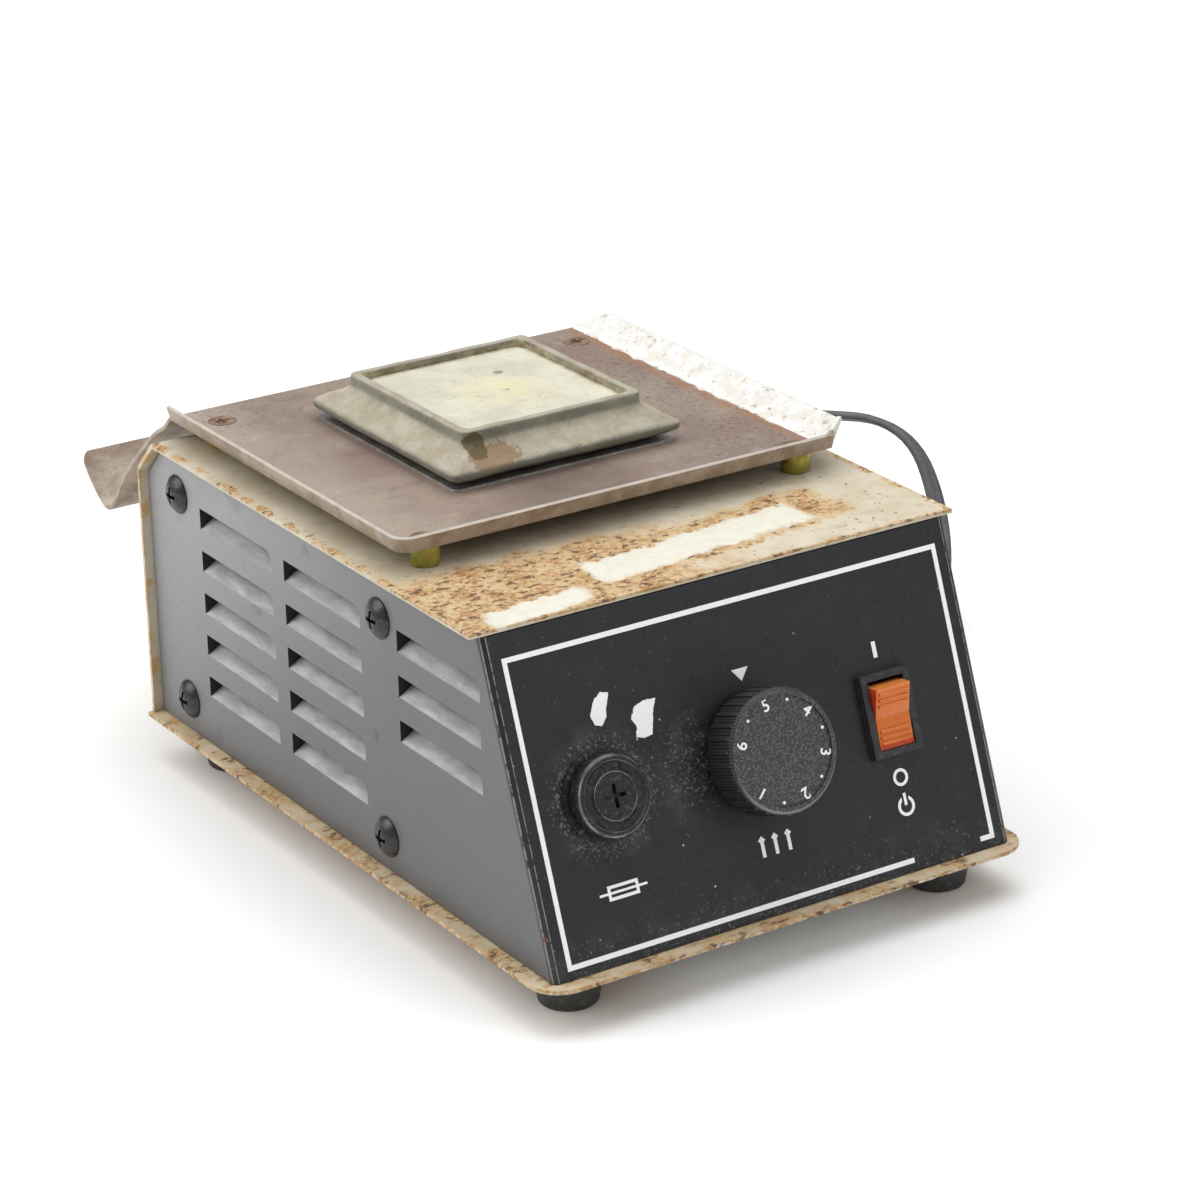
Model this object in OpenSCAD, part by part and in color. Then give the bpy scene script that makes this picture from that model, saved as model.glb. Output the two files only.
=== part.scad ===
// Benchtop solder pot: slanted control box on four feet with a heated square pot in a drip tray.
// Frame: millimetres, X to the right, Y from the front panel to the back, Z up, Z = 0 on the table.

/* [Body] */
// Width of the bottom plate
base_w = 150; // [140:1:160]
// Width of the top and back plates
top_w = 147; // [140:1:156]
// Depth of the bottom plate
base_d = 212; // [200:1:220]
// Height of the box above the feet
body_h = 84.5; // [78:0.5:90]
// Thickness of the cream sheet
plate_t = 1.2; // [0.8:0.1:2]
// Depth of the top plate's front edge behind the base's front edge
top_front_y = 34.2; // [28:0.1:40]
// Slant of the front panel from the vertical, degrees
tilt = 20.3; // [15:0.1:25]
// Distance of the panel's foot behind the base's front edge
panel_y0 = 3.4; // [2:0.1:6]
// Width over the black shell
shell_w = 141.4; // [136:0.2:144]
// Thickness of the black sheet
shell_t = 1.0; // [0.8:0.1:1.5]
// Size of the chamfer between top and back plate
chamfer = 9.8; // [6:0.1:14]

/* [Feet] */
// Height of a rubber foot
foot_h = 12; // [8:0.5:16]
// Top diameter of a foot
foot_d_top = 19.5; // [16:0.5:24]
// Bottom diameter of a foot
foot_d_bot = 15.5; // [12:0.5:20]
// Spacing of the feet across the width
foot_px = 115; // [100:1:124]
// Spacing of the feet along the depth
foot_py = 175; // [160:1:184]

/* [Louvres] */
// Height of a louvre slot
louvre_h = 6; // [4:0.1:8]
// Depth of the pressed scoop
louvre_in = 5.4; // [3:0.1:7]
// Vertical pitch of the louvres
louvre_pitch = 12.4; // [10:0.1:16]
// Height of the first slot's top edge above the base
louvre_top = 71.7; // [66:0.1:76]

/* [Tray] */
// Left edge of the tray floor
tray_x0 = -67.5; // [-70:0.5:-60]
// Right edge of the tray floor
tray_x1 = 65.5; // [60:0.5:70]
// Thickness of the tray sheet
tray_t = 1.0; // [0.8:0.1:1.5]
// Gap between top plate and tray
tray_gap = 6; // [4:0.5:10]
// Front edge of the tray floor behind the base's front edge
tray_y0 = 76.5; // [70:0.5:84]
// Rear edge of the tray floor
tray_y1 = 201; // [196:0.5:206]
// Height of the front and left lips
lip_h = 4; // [3:0.5:8]
// Outward run of the right flange
flange_run = 8; // [4:0.5:9]
// Rise of the right flange
flange_rise = 4.6; // [2:0.2:8]

/* [Pot] */
// Width of the pot's rim
pot_w = 57; // [50:1:64]
// Depth of the pot's rim
pot_d = 61; // [54:1:66]
// Height of the rim above the table
rim_z = 117; // [112:0.5:122]
// Wall thickness at the rim
pot_wall = 3; // [2:0.5:5]
// Overhang of the moulded flange beyond the rim
flange_out = 8; // [5:0.5:10]
// Depth of the bath
bath_depth = 33; // [25:1:36]
// Distance of the molten surface below the rim
solder_down = 2.2; // [1:0.1:6]

/* [Controls] */
// Height of the controls up the slanted panel
ctl_v = 43.2; // [38:0.1:48]
// Diameter of the dial knob
knob_d = 32; // [26:0.5:36]
// Height of the dial knob
knob_h = 12; // [10:0.5:16]
// Position of the fuse holder across the panel
fuse_u = -46; // [-50:0.5:-40]
// Diameter of the fuse cap
fuse_cap_d = 21; // [18:0.5:24]
// Position of the rocker switch across the panel
rocker_u = 41; // [36:0.5:46]
// Width of the switch bezel
bezel_w = 15.2; // [14:0.1:17]
// Height of the switch bezel
bezel_l = 21.8; // [20:0.1:24]
// Tilt of the rocker from its middle position, degrees
rocker_tilt = 12; // [8:1:15]

/* [Cord] */
// Width of the flat twin cord
cord_w = 5.4; // [4:0.1:7]
// Thickness of the flat twin cord
cord_t = 2.8; // [2.4:0.1:4]
// Position of the cord bushing across the back plate
bush_x = 48; // [30:1:60]
// Height of the cord bushing above the table
bush_z = 34; // [28:1:50]

/* [Hidden] */
$fn = 48;
$fs = 0.5;
depth_all = 262;
y_mid = depth_all / 2;
z_base = foot_h;
z_top = foot_h + body_h;
gap = 0.3;
in_z0 = z_base + plate_t;
in_z1 = z_top - plate_t;
shell_z0 = in_z0 + gap;
shell_z1 = in_z1 - gap;
shell_back = base_d - plate_t - gap;
foot_y = [base_d / 2 - foot_py / 2, base_d / 2 + foot_py / 2];
screw_y = [83.5, 193];
screw_z = [z_base + 10.9, z_base + 72];
side_screw_r = 5.5;
rail_leg = 9;
rail_t = 1.2;
// louvre columns: rear end and number of rows
louvre_cols = [[180.5, 5], [133.5, 5], [74.8, 3]];
louvre_len = 40;
tray_z = z_top + tray_gap;
tray_top = tray_z + tray_t;
tray_r = 4;
lip_lean = 1.2;
end_slope = 0.78;
spacer_x = 57.5;
spacer_y = [81.8, 189.8];
spacer_r = 4;
pot_y = 141;
flange_w = pot_w + 2 * flange_out;
flange_d = pot_d + 2 * flange_out;
shield_t = 0.6;
pot_under = tray_top + shield_t;
pot_foot = rim_z - bath_depth - 8;
heater_t = 5;
back_t = 1.5;
insul_t = 10;
stud_x = 18;
stud_r = 2;
bracket_t = 1.2;
bracket_z = pot_foot - heater_t - back_t - insul_t - bracket_t;
nut_t = 3.2;
shaft_r = 3;
bushing_r = 4.7;
run = 0.05;
knob_off = 1.2;
fuse_r = 3.1;
fuse_len = 30;
holder_r = 7.8;
holder_len = 44;
clip_r = 4.2;
stem_r = 5.6;
rocker_l = 16.4;
rocker_w = 10.6;
pivot_off = -1;
bezel_h = 2.2;
board = [70, 56, 1.6];
board_x = -8;
board_y = 108;
board_z = in_z0 + 8;
post_dx = 30;
post_dy = 23;
block_x = 42;
block_y = 178;
coil_c = [149, 208];
coil_turn = 30;
coil_r = coil_turn + 1.5 * cord_w;
coil_hole = coil_turn - 1.5 * cord_w;
coil_h = 2 * cord_w;
plug_w = 24;
plug_t = 15;
plug_c = [122.5, 226];

// run of the cord from inside the bushing to the coil, laid by hand
cord_route = [
    [bush_x, base_d - 7, bush_z], [bush_x, 240, bush_z], [51, 254, 34], [62, 269, 35],
    [80, 278.5, 37], [102, 278, 40], [124, 267, 43.5], [143, 249, 46.5],
    [157, 230.5, 48.8], [166.5, 215.5, 50.6], [172.2, 203, 51.8], [175.6, 192.5, 49.9],
    [176.9, 184, 45.0], [176.1, 176.5, 37.5], [173.8, 169.5, 29.3], [170.3, 163, 22],
    [164.5, 156, 15], [156, 148.6, 8.8], [146.5, 143, 4.8], [137, 141.2, 3],
    [128, 142.9, 3], [120.4, 147.9, 3], [115.4, 155.4, 3], [113.6, 164.6, 3],
    [113.6, 186, 3], [113.6, 208, 3]
];

// ---- helpers ----
module place() {
    translate([0, -y_mid, 0]) children();
}

// local Z is the panel's outward normal, local Y runs up the slope
module on_panel(u, off = 0, v = ctl_v) {
    translate([u, panel_y0 + v * sin(tilt), z_base + v * cos(tilt)])
        rotate([90 - tilt, 0, 0])
            translate([0, 0, off]) children();
}

// local X becomes Y, local Y becomes Z, extruded along X and centred
module across(w) {
    translate([-w / 2, 0, 0]) rotate([90, 0, 90]) linear_extrude(w) children();
}

module rrect(w, d, r) {
    square([w - 2 * r, d], center = true);
    square([w, d - 2 * r], center = true);
    for (sx = [-1, 1], sy = [-1, 1])
        translate([sx * (w / 2 - r), sy * (d / 2 - r)]) circle(r);
}

module hex(af, h) {
    cylinder(d = af / cos(30), h = h, $fn = 6);
}

module at_feet() {
    for (sx = [-1, 1], y = foot_y) translate([sx * foot_px / 2, y, 0]) children();
}

module at_spacers() {
    for (sx = [-1, 1], y = spacer_y) translate([sx * spacer_x, y, 0]) children();
}

module at_side_screws() {
    for (s = [-1, 1], y = screw_y, z = screw_z)
        translate([s * shell_w / 2, y, z]) rotate([0, s * 90, 0]) children();
}

module at_posts() {
    for (sx = [-1, 1], sy = [-1, 1])
        translate([board_x + sx * post_dx, board_y + sy * post_dy, 0]) children();
}

// cross recess for a screwdriver
module cross_slot(len, wid, deep) {
    for (a = [0, 90]) rotate([0, 0, a])
        translate([-len / 2, -wid / 2, -deep]) cube([len, wid, deep + 1]);
}

// a point at u across, v up the slope and off outwards from the panel
function panel_point(u, v, off) = [u, panel_y0 + v * sin(tilt) - off * cos(tilt),
    z_base + v * cos(tilt) + off * sin(tilt)];

function unit(v) = v / norm(v);
function spline(a, b, c, d, t) = 0.5 * ((2 * b) + (c - a) * t
    + (2 * a - 5 * b + 4 * c - d) * t * t + (3 * b - a - 3 * c + d) * t * t * t);
function dense(p, n) = let (m = len(p)) concat(
    [for (i = [0 : m - 2], k = [0 : n - 1])
        spline(p[max(i - 1, 0)], p[i], p[i + 1], p[min(i + 2, m - 1)], k / n)],
    [p[m - 1]]);
function tangents(p) = let (m = len(p))
    [for (i = [0 : m - 1]) unit(p[min(i + 1, m - 1)] - p[max(i - 1, 0)])];
function carry(t, n, i = 0) = i == len(t) ? [] :
    let (m = unit(n - (n * t[i]) * t[i])) concat([m], carry(t, m, i + 1));

// a tube of half widths ra and rb along a smooth curve through the given points
module tube(p, ra, rb, n = 5, sides = 8, side_dir = [0.2, 0.1, 1]) {
    c = dense(p, n);
    t = tangents(c);
    u = carry(t, side_dir);
    m = len(c);
    pts = [for (i = [0 : m - 1], k = [0 : sides - 1])
        c[i] + ra * cos(360 * k / sides) * u[i] + rb * sin(360 * k / sides) * cross(t[i], u[i])];
    skin = [for (i = [0 : m - 2], k = [0 : sides - 1])
        [(i + 1) * sides + k, (i + 1) * sides + (k + 1) % sides, i * sides + (k + 1) % sides,
         i * sides + k]];
    start_cap = [for (k = [0 : sides - 1]) k];
    end_cap = [for (k = [0 : sides - 1]) m * sides - 1 - k];
    polyhedron(points = pts, faces = concat(skin, [start_cap, end_cap]));
}

// ---- cream chassis: bottom, back, chamfer and top in one bent sheet ----
module chassis() color([0.80, 0.74, 0.62]) place() difference() {
    union() {
        translate([0, base_d / 2, z_base]) linear_extrude(plate_t) base_outline();
        across(top_w) polygon([
            [base_d, z_base], [base_d, z_top - chamfer], [base_d - chamfer, z_top],
            [top_front_y, z_top], [top_front_y, in_z1], [base_d - chamfer - 0.5, in_z1],
            [base_d - plate_t, z_top - chamfer - 0.5], [base_d - plate_t, z_base]]);
    }
    at_feet() translate([0, 0, z_base - 1]) cylinder(r = 2.2, h = plate_t + 2);
    at_posts() translate([0, 0, z_base - 1]) cylinder(r = 1.6, h = plate_t + 2);
    at_spacers() translate([0, 0, in_z1 - 1]) cylinder(r = 2.1, h = plate_t + 2);
    translate([0, pot_y, in_z1 - 1]) linear_extrude(plate_t + 2) rrect(pot_w + 6, pot_d + 6, 4);
    translate([bush_x, base_d + 1, bush_z]) rotate([90, 0, 0]) cylinder(r = 6.05, h = plate_t + 2);
}

module base_outline() {
    r = 9;
    square([base_w - 2 * r, base_d], center = true);
    translate([-base_w / 2, r - base_d / 2]) square([base_w, base_d - r]);
    for (s = [-1, 1]) translate([s * (base_w / 2 - r), r - base_d / 2]) circle(r);
}

// ---- black shell: slanted front and both sides in one bent sheet ----
module slope_column(w, front, r) {
    translate([0, panel_y0, z_base]) rotate([-tilt, 0, 0])
        translate([0, front + 150, -90]) linear_extrude(300) rrect(w, 300, r);
}

module shell_region(low, high, back) {
    across(shell_w + 20) polygon([[-40, low], [back, low], [back, high - chamfer],
        [back - chamfer, high], [-40, high]]);
}

module louvre_slot(s, y, z) {
    r = louvre_h / 2;
    translate([s * shell_w / 2, y, z - r]) rotate([0, 90, 0]) {
        translate([-r, r - louvre_len, -3]) cube([louvre_h, louvre_len - r, 6]);
        // round upper and square lower corner at the front end
        translate([0, r - louvre_len, -3]) cylinder(r = r, h = 6);
        translate([0, -louvre_len, -3]) cube([r, 2 * r, 6]);
    }
}

module scoop(s, y, z) {
    translate([s * (shell_w / 2), y, z]) mirror([s > 0 ? 1 : 0, 0, 0]) {
        // slanted face
        translate([0, 0.4, 0]) rotate([90, 0, 0]) linear_extrude(louvre_len + 0.8)
            polygon([[0.2, -louvre_h], [louvre_in, -2.9], [louvre_in, -3.7],
                [0.9, -louvre_h - 0.9], [0.2, -louvre_h - 0.6]]);
        // triangular end walls
        for (e = [0.8, -louvre_len])
            translate([0, e, 0]) rotate([90, 0, 0]) linear_extrude(0.8)
                polygon([[0.2, 0.6], [louvre_in, -2.9], [louvre_in, -3.5],
                    [0.2, -louvre_h - 0.4]]);
    }
}

module shell() color([0.09, 0.09, 0.10]) place() {
    difference() {
        intersection() {
            slope_column(shell_w, 0, 1.9);
            shell_region(shell_z0, shell_z1, shell_back);
        }
        slope_column(shell_w - 2 * shell_t, shell_t, 0.9);
        for (s = [-1, 1], c = louvre_cols, i = [0 : c[1] - 1])
            louvre_slot(s, c[0], z_base + louvre_top - i * louvre_pitch);
        at_side_screws() translate([0, 0, -3]) cylinder(r = 2.1, h = 6);
        on_panel(0, -3) cylinder(r = bushing_r + 0.1, h = 6);
        on_panel(fuse_u, -3) cylinder(r = holder_r + 0.1, h = 6);
        on_panel(rocker_u, -3) translate([-6.6, -9.8, 0]) cube([13.2, 19.6, 6]);
    }
    for (s = [-1, 1], c = louvre_cols, i = [0 : c[1] - 1])
        scoop(s, c[0], z_base + louvre_top - i * louvre_pitch);
}

// ---- white line print on the panel: border, pointer and plain symbols ----
module bar(u0, v0, u1, v1) {
    translate([u0, v0]) square([u1 - u0, v1 - v0]);
}

module ring2(r, w) {
    difference() { circle(r); circle(r - w); }
}

module panel_print() color([0.93, 0.93, 0.91]) place() on_panel(0, 0, 0) linear_extrude(0.12) {
    lw = 1.3;
    u = 66;
    lo = 3.8;
    hi = 82.4;
    bar(-u, lo, -u + lw, hi);
    bar(u - lw, lo, u, hi);
    bar(-u, hi - lw, u, hi);
    bar(-u, lo, 40, lo + lw);
    bar(61.5, lo, u, lo + lw);
    // pointer above the dial
    polygon([[-2.5, 64.6], [0, 61.4], [2.5, 64.6]]);
    // stroke and ring beside the rocker
    bar(rocker_u - 0.6, 57.8, rocker_u + 0.6, 62);
    translate([rocker_u, 26.2]) ring2(2.3, 0.8);
    // heat bars under the dial
    for (i = [-1 : 1]) translate([i * 4, 16.6]) {
        bar(-0.5, 0, 0.5, 4.4);
        translate([0, 4.4]) rotate([0, 0, 45]) square([1.5, 1.5], center = true);
    }
    // fuse symbol
    difference() {
        bar(fuse_u - 4.5, 17.4, fuse_u + 4.5, 21.2);
        bar(fuse_u - 3.7, 18.2, fuse_u + 3.7, 20.4);
    }
    bar(fuse_u - 7, 19, fuse_u + 7, 19.6);
    // broken ring under the switch
    translate([rocker_u, 18.6]) difference() {
        ring2(2.6, 0.8);
        bar(-1.1, 0.6, 1.1, 3);
    }
    bar(rocker_u - 0.4, 18.8, rocker_u + 0.4, 22);
}

// ---- rails that carry the shell's screws ----
module rail(s, top) {
    z = top ? in_z1 : in_z0;
    d = top ? -1 : 1;
    x = s * (shell_w / 2 - shell_t);
    y0 = top ? 62 : 60;
    y1 = top ? 200 : 206;
    high = 17;
    difference() {
        union() {
            translate([s > 0 ? x - rail_t : x, y0, top ? z - high - 2 : z])
                cube([rail_t, y1 - y0, high + 2]);
            translate([s > 0 ? x - rail_leg : x, y0, top ? z - rail_t : z])
                cube([rail_leg, y1 - y0, rail_t]);
        }
        for (y = screw_y) translate([x, y, screw_z[top ? 1 : 0]]) rotate([0, 90, 0])
            cylinder(r = 1.7, h = 8, center = true);
        if (top) at_spacers() translate([0, 0, in_z1 - 4]) cylinder(r = 4.5, h = 6);
        if (!top) at_feet() translate([0, 0, in_z0 - 1]) cylinder(r = 5.5, h = 6);
        // relief where the scoops come in
        for (c = louvre_cols) translate([x - s * 3, c[0] - louvre_len / 2, 0])
            translate([-6, -louvre_len / 2 - 1.6, top ? z_base + 60 : z_base + 10])
                cube([12, louvre_len + 3.2, 14]);
    }
}

module rail_top_left() color([0.62, 0.63, 0.65]) place() rail(-1, true);
module rail_top_right() color([0.62, 0.63, 0.65]) place() rail(1, true);
module rail_bottom_left() color([0.62, 0.63, 0.65]) place() rail(-1, false);
module rail_bottom_right() color([0.62, 0.63, 0.65]) place() rail(1, false);

module side_screws() color([0.12, 0.12, 0.13]) place() at_side_screws() difference() {
    union() {
        intersection() {
            cylinder(r = side_screw_r, h = 2.8);
            translate([0, 0, -4.6]) sphere(r = 7.4);
        }
        translate([0, 0, -6]) cylinder(r = 1.7, h = 6.1);
    }
    translate([0, 0, 2.7]) cross_slot(5, 1, 1.7);
}

// ---- feet ----
module feet() color([0.10, 0.10, 0.11]) place() at_feet() difference() {
    cylinder(r1 = foot_d_bot / 2, r2 = foot_d_top / 2, h = foot_h);
    translate([0, 0, -1]) cylinder(r = 4.2, h = 7);
    translate([0, 0, -1]) cylinder(r = 2.1, h = foot_h + 2);
}

module foot_screws() color([0.70, 0.70, 0.70]) place() at_feet() difference() {
    union() {
        translate([0, 0, 3.6]) cylinder(r = 3.8, h = 2.4);
        translate([0, 0, 5]) cylinder(r = 2, h = 13.5);
    }
    translate([0, 0, 5]) rotate([180, 0, 0]) cross_slot(4, 0.9, 0);
}

module foot_nuts() color([0.74, 0.74, 0.75]) place() at_feet()
    translate([0, 0, in_z0]) difference() {
        union() {
            cylinder(r = 4.8, h = 0.8);
            translate([0, 0, 0.8]) hex(7, 3);
        }
        translate([0, 0, -1]) cylinder(r = 2, h = 6);
    }

module under_label() color([0.92, 0.92, 0.90]) place()
    translate([-36, 2.5, z_base - 0.2]) cube([78, 42, 0.2]);

// ---- drip tray with its trough behind the box ----
function trough_line() = [
    [tray_y1 - 1, tray_z], [tray_y1 + 0.5, tray_z - 0.3], [tray_y1 + 4.5, tray_z - 4],
    [tray_y1 + 12.5, tray_z - 9], [232, 77], [240, 66], [245, 62.6], [250, 64.2], [256.5, 69.5],
    [depth_all - 0.7, 75]];

function shift_line(p, t) = let (m = len(p)) [for (i = [0 : m - 1])
    let (a = unit(p[min(i + 1, m - 1)] - p[max(i - 1, 0)])) p[i] + t * [-a[1], a[0]]];

module tray() color([0.52, 0.44, 0.39]) place() difference() {
    union() {
        tray_floor();
        // low front and left lips that meet round the front left corner
        translate([tray_x0, 0, 0]) mirror([1, 0, 0]) side_lip(tray_r, lip_lean, lip_h);
        front_lip();
        translate([tray_x0 + tray_r, tray_y0 + tray_r, tray_z]) intersection() {
            rotate_extrude() translate([tray_r, 0]) lip_profile(lip_lean, lip_h);
            translate([-20, -20, -1]) cube([20, 20, 20]);
        }
        // wide flared right flange, its ends cut back to the tips
        translate([tray_x1, 0, 0]) difference() {
            side_lip(0, flange_run, flange_rise);
            linear_extrude(200) {
                polygon([[0.2, tray_y0 - 3], [12, tray_y0 - 3], [12, tray_y0 + 12 * end_slope],
                    [0.2, tray_y0 + 0.2 * end_slope]]);
                polygon([[0.2, tray_y1 + 3], [12, tray_y1 + 3], [12, tray_y1 - 6],
                    [0.2, tray_y1 - 0.1]]);
            }
        }
        line = dense(trough_line(), 3);
        up = shift_line(line, tray_t);
        n = len(line) - 1;
        translate([(tray_x0 + tray_x1) / 2, 0, 0]) across(tray_x1 - tray_x0)
            polygon(concat(line, [for (i = [0 : n]) up[n - i]]));
    }
    translate([0, pot_y, tray_z - 1]) linear_extrude(tray_t + 2) rrect(pot_w + 3, pot_d + 3, 3);
    at_spacers() translate([0, 0, tray_z - 1]) cylinder(r = 2.1, h = tray_t + 2);
    at_spacers() translate([0, 0, tray_z + 0.01]) cylinder(r1 = 2.1, r2 = 4.1, h = tray_t);
    // rounded corners of the trough's free edge
    for (s = [-1, 1]) translate([s > 0 ? tray_x1 : tray_x0, depth_all, 76]) rotate([48, 0, 0])
        trough_corner(s);
}

module trough_corner(s) {
    r = 5;
    translate([-s * r, -r - 0.2, -6]) difference() {
        translate([s > 0 ? 0 : -r - 1, 0, 0]) cube([r + 1, r + 3, 12]);
        cylinder(r = r, h = 12);
    }
}

module tray_floor() {
    w = tray_x1 - tray_x0;
    d = tray_y1 - tray_y0;
    translate([tray_x0 + tray_r, tray_y0, tray_z]) cube([w - tray_r, d, tray_t]);
    translate([tray_x0, tray_y0 + tray_r, tray_z]) cube([w, d - tray_r, tray_t]);
    translate([tray_x0 + tray_r, tray_y0 + tray_r, tray_z]) cylinder(r = tray_r, h = tray_t);
}

// section of a lip that starts inside the floor's edge and leans outwards
module lip_profile(run_out, rise) {
    polygon([[-1.2, 0], [0, 0], [run_out, rise], [run_out - 0.9, rise + 0.4], [-0.8, tray_t]]);
}

module side_lip(from, run_out, rise) {
    translate([0, tray_y1, tray_z]) rotate([90, 0, 0])
        linear_extrude(tray_y1 - tray_y0 - from) lip_profile(run_out, rise);
}

// front lip, drawn up at the right to the flange's tip
module front_lip() {
    translate([tray_x0 + tray_r, tray_y0, tray_z]) rotate([90, 0, 90])
        linear_extrude(tray_x1 - tray_x0 - tray_r)
            mirror([1, 0]) lip_profile(lip_lean, lip_h);
    run_out = flange_run * norm([1, end_slope]);
    translate([tray_x1, tray_y0, tray_z]) rotate([90, 0, atan(end_slope)])
        translate([0, 0, -tray_t]) linear_extrude(tray_t)
            polygon([[-2, lip_h - 0.6], [0, 0], [run_out, flange_rise],
                [run_out - 0.9, flange_rise + 1.2], [-2, lip_h + 0.2]]);
}

module tray_spacers() color([0.72, 0.66, 0.34]) place() at_spacers()
    translate([0, 0, z_top]) difference() {
        cylinder(r = spacer_r, h = tray_gap);
        translate([0, 0, -1]) cylinder(r = 2.1, h = tray_gap + 2);
    }

module tray_screws() color([0.55, 0.45, 0.36]) place() at_spacers() difference() {
    union() {
        translate([0, 0, tray_top - 1]) cylinder(r1 = 2, r2 = 3.9, h = 1.05);
        translate([0, 0, in_z1 - 5]) cylinder(r = 2, h = tray_top - 0.95 - in_z1 + 5);
    }
    translate([0, 0, tray_top + 0.05]) cross_slot(4, 0.8, 0.8);
}

module tray_nuts() color([0.72, 0.66, 0.34]) place() at_spacers()
    translate([0, 0, in_z1 - nut_t]) difference() {
        hex(7, nut_t);
        translate([0, 0, -1]) cylinder(r = 2, h = nut_t + 2);
    }

// ---- cast pot ----
module slab(w, d, r, z, h) {
    translate([0, pot_y, z]) linear_extrude(h) rrect(w, d, r);
}

// four-sided frustum between two rounded outlines
module taper(w0, d0, w1, d1, r, z0, z1) {
    hull() {
        slab(w0, d0, r, z0, 0.01);
        slab(w1, d1, r, z1 - 0.01, 0.01);
    }
}

module pot() color([0.46, 0.46, 0.42]) place() difference() {
    union() {
        slab(pot_w, pot_d, 2.5, pot_foot, rim_z - pot_foot);
        taper(flange_w - 1, flange_d - 1, pot_w + 2.4, pot_d + 2.4, 2.2, rim_z - 8, rim_z - 4.6, $fn = 24);
        slab(flange_w, flange_d, 3, rim_z - 10.6, 2.6);
        taper(pot_w + 7, pot_d + 7, flange_w - 1, flange_d - 1, 2.2, pot_under, rim_z - 10.6, $fn = 24);
    }
    hull() {
        slab(pot_w - 2 * pot_wall, pot_d - 2 * pot_wall, 2, rim_z, 1, $fn = 24);
        slab(pot_w - 2 * pot_wall - 5, pot_d - 2 * pot_wall - 5, 2, rim_z - bath_depth, 0.01, $fn = 24);
    }
    for (s = [-1, 1]) translate([s * stud_x, pot_y, pot_foot - 1]) cylinder(r = stud_r + run, h = 6);
}

module solder() color([0.80, 0.79, 0.72]) place() {
    t = (bath_depth - solder_down) / bath_depth;
    w = pot_w - 2 * pot_wall - 5;
    d = pot_d - 2 * pot_wall - 5;
    hull() {
        slab(w + 5 * t - 0.1, d + 5 * t - 0.1, 2, rim_z - solder_down - 0.01, 0.01, $fn = 24);
        slab(w - 0.1, d - 0.1, 2, rim_z - bath_depth, 0.01, $fn = 24);
    }
}

module pot_seat() color([0.70, 0.70, 0.70]) place()
    translate([0, pot_y, tray_top]) linear_extrude(shield_t) difference() {
        rrect(pot_w + 13, pot_d + 13, 2);
        rrect(pot_w + 1, pot_d + 1, 2);
    }

module stud_holes(r) {
    for (s = [-1, 1]) translate([s * stud_x, pot_y, 0]) cylinder(r = r, h = 200);
}

module heater() color([0.86, 0.84, 0.78]) place() difference() {
    slab(pot_w - 3, pot_d - 3, 2, pot_foot - heater_t, heater_t);
    stud_holes(stud_r + 0.2);
}

module heater_backing() color([0.66, 0.66, 0.67]) place() difference() {
    slab(pot_w - 1, pot_d - 1, 2, pot_foot - heater_t - back_t, back_t);
    stud_holes(stud_r + 0.2);
}

module insulation() color([0.90, 0.88, 0.83]) place() difference() {
    slab(pot_w + 4, pot_d + 4, 2, bracket_z + bracket_t, insul_t);
    stud_holes(stud_r + 0.2);
}

module pot_bracket() color([0.64, 0.65, 0.66]) place() difference() {
    h = in_z1 - bracket_z;
    w = pot_w + 8;
    union() {
        translate([-w / 2, pot_y - 26, bracket_z]) cube([w, 52, bracket_t]);
        for (s = [-1, 1]) {
            translate([s * (w / 2 - bracket_t / 2), pot_y, bracket_z + h / 2])
                cube([bracket_t, 52, h], center = true);
            translate([s * (w / 2 + 5), pot_y, in_z1 - bracket_t / 2])
                cube([12, 52, bracket_t], center = true);
        }
    }
    stud_holes(stud_r + 0.2);
}

module pot_studs() color([0.72, 0.72, 0.73]) place() for (s = [-1, 1])
    translate([s * stud_x, pot_y, bracket_z - 6]) cylinder(r = stud_r, h = pot_foot + 5 - bracket_z + 6);

module pot_nuts() color([0.72, 0.72, 0.73]) place() for (s = [-1, 1])
    translate([s * stud_x, pot_y, bracket_z - nut_t]) difference() {
        hex(7, nut_t);
        translate([0, 0, -1]) cylinder(r = stud_r, h = nut_t + 2);
    }

// ---- heat dial ----
module dial_body() color([0.35, 0.36, 0.38]) place() on_panel(0) difference() {
    union() {
        translate([0, 0, -shell_t - 12]) cylinder(r = 12, h = 12);
        translate([0, 0, -shell_t - 0.1]) cylinder(r = bushing_r, h = shell_t + 5);
        for (i = [-1 : 1]) translate([i * 5 - 1, -17, -8]) cube([2, 7, 0.8]);
    }
    translate([0, 0, -10]) cylinder(r = shaft_r + run, h = 20);
}

module dial_nut() color([0.74, 0.74, 0.75]) place() on_panel(0) difference() {
    hex(13, 2.4);
    translate([0, 0, -1]) cylinder(r = bushing_r, h = 6);
}

module dial_shaft() color([0.72, 0.72, 0.73]) place() on_panel(0, -9)
    cylinder(r = shaft_r, h = 19.5);

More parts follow.
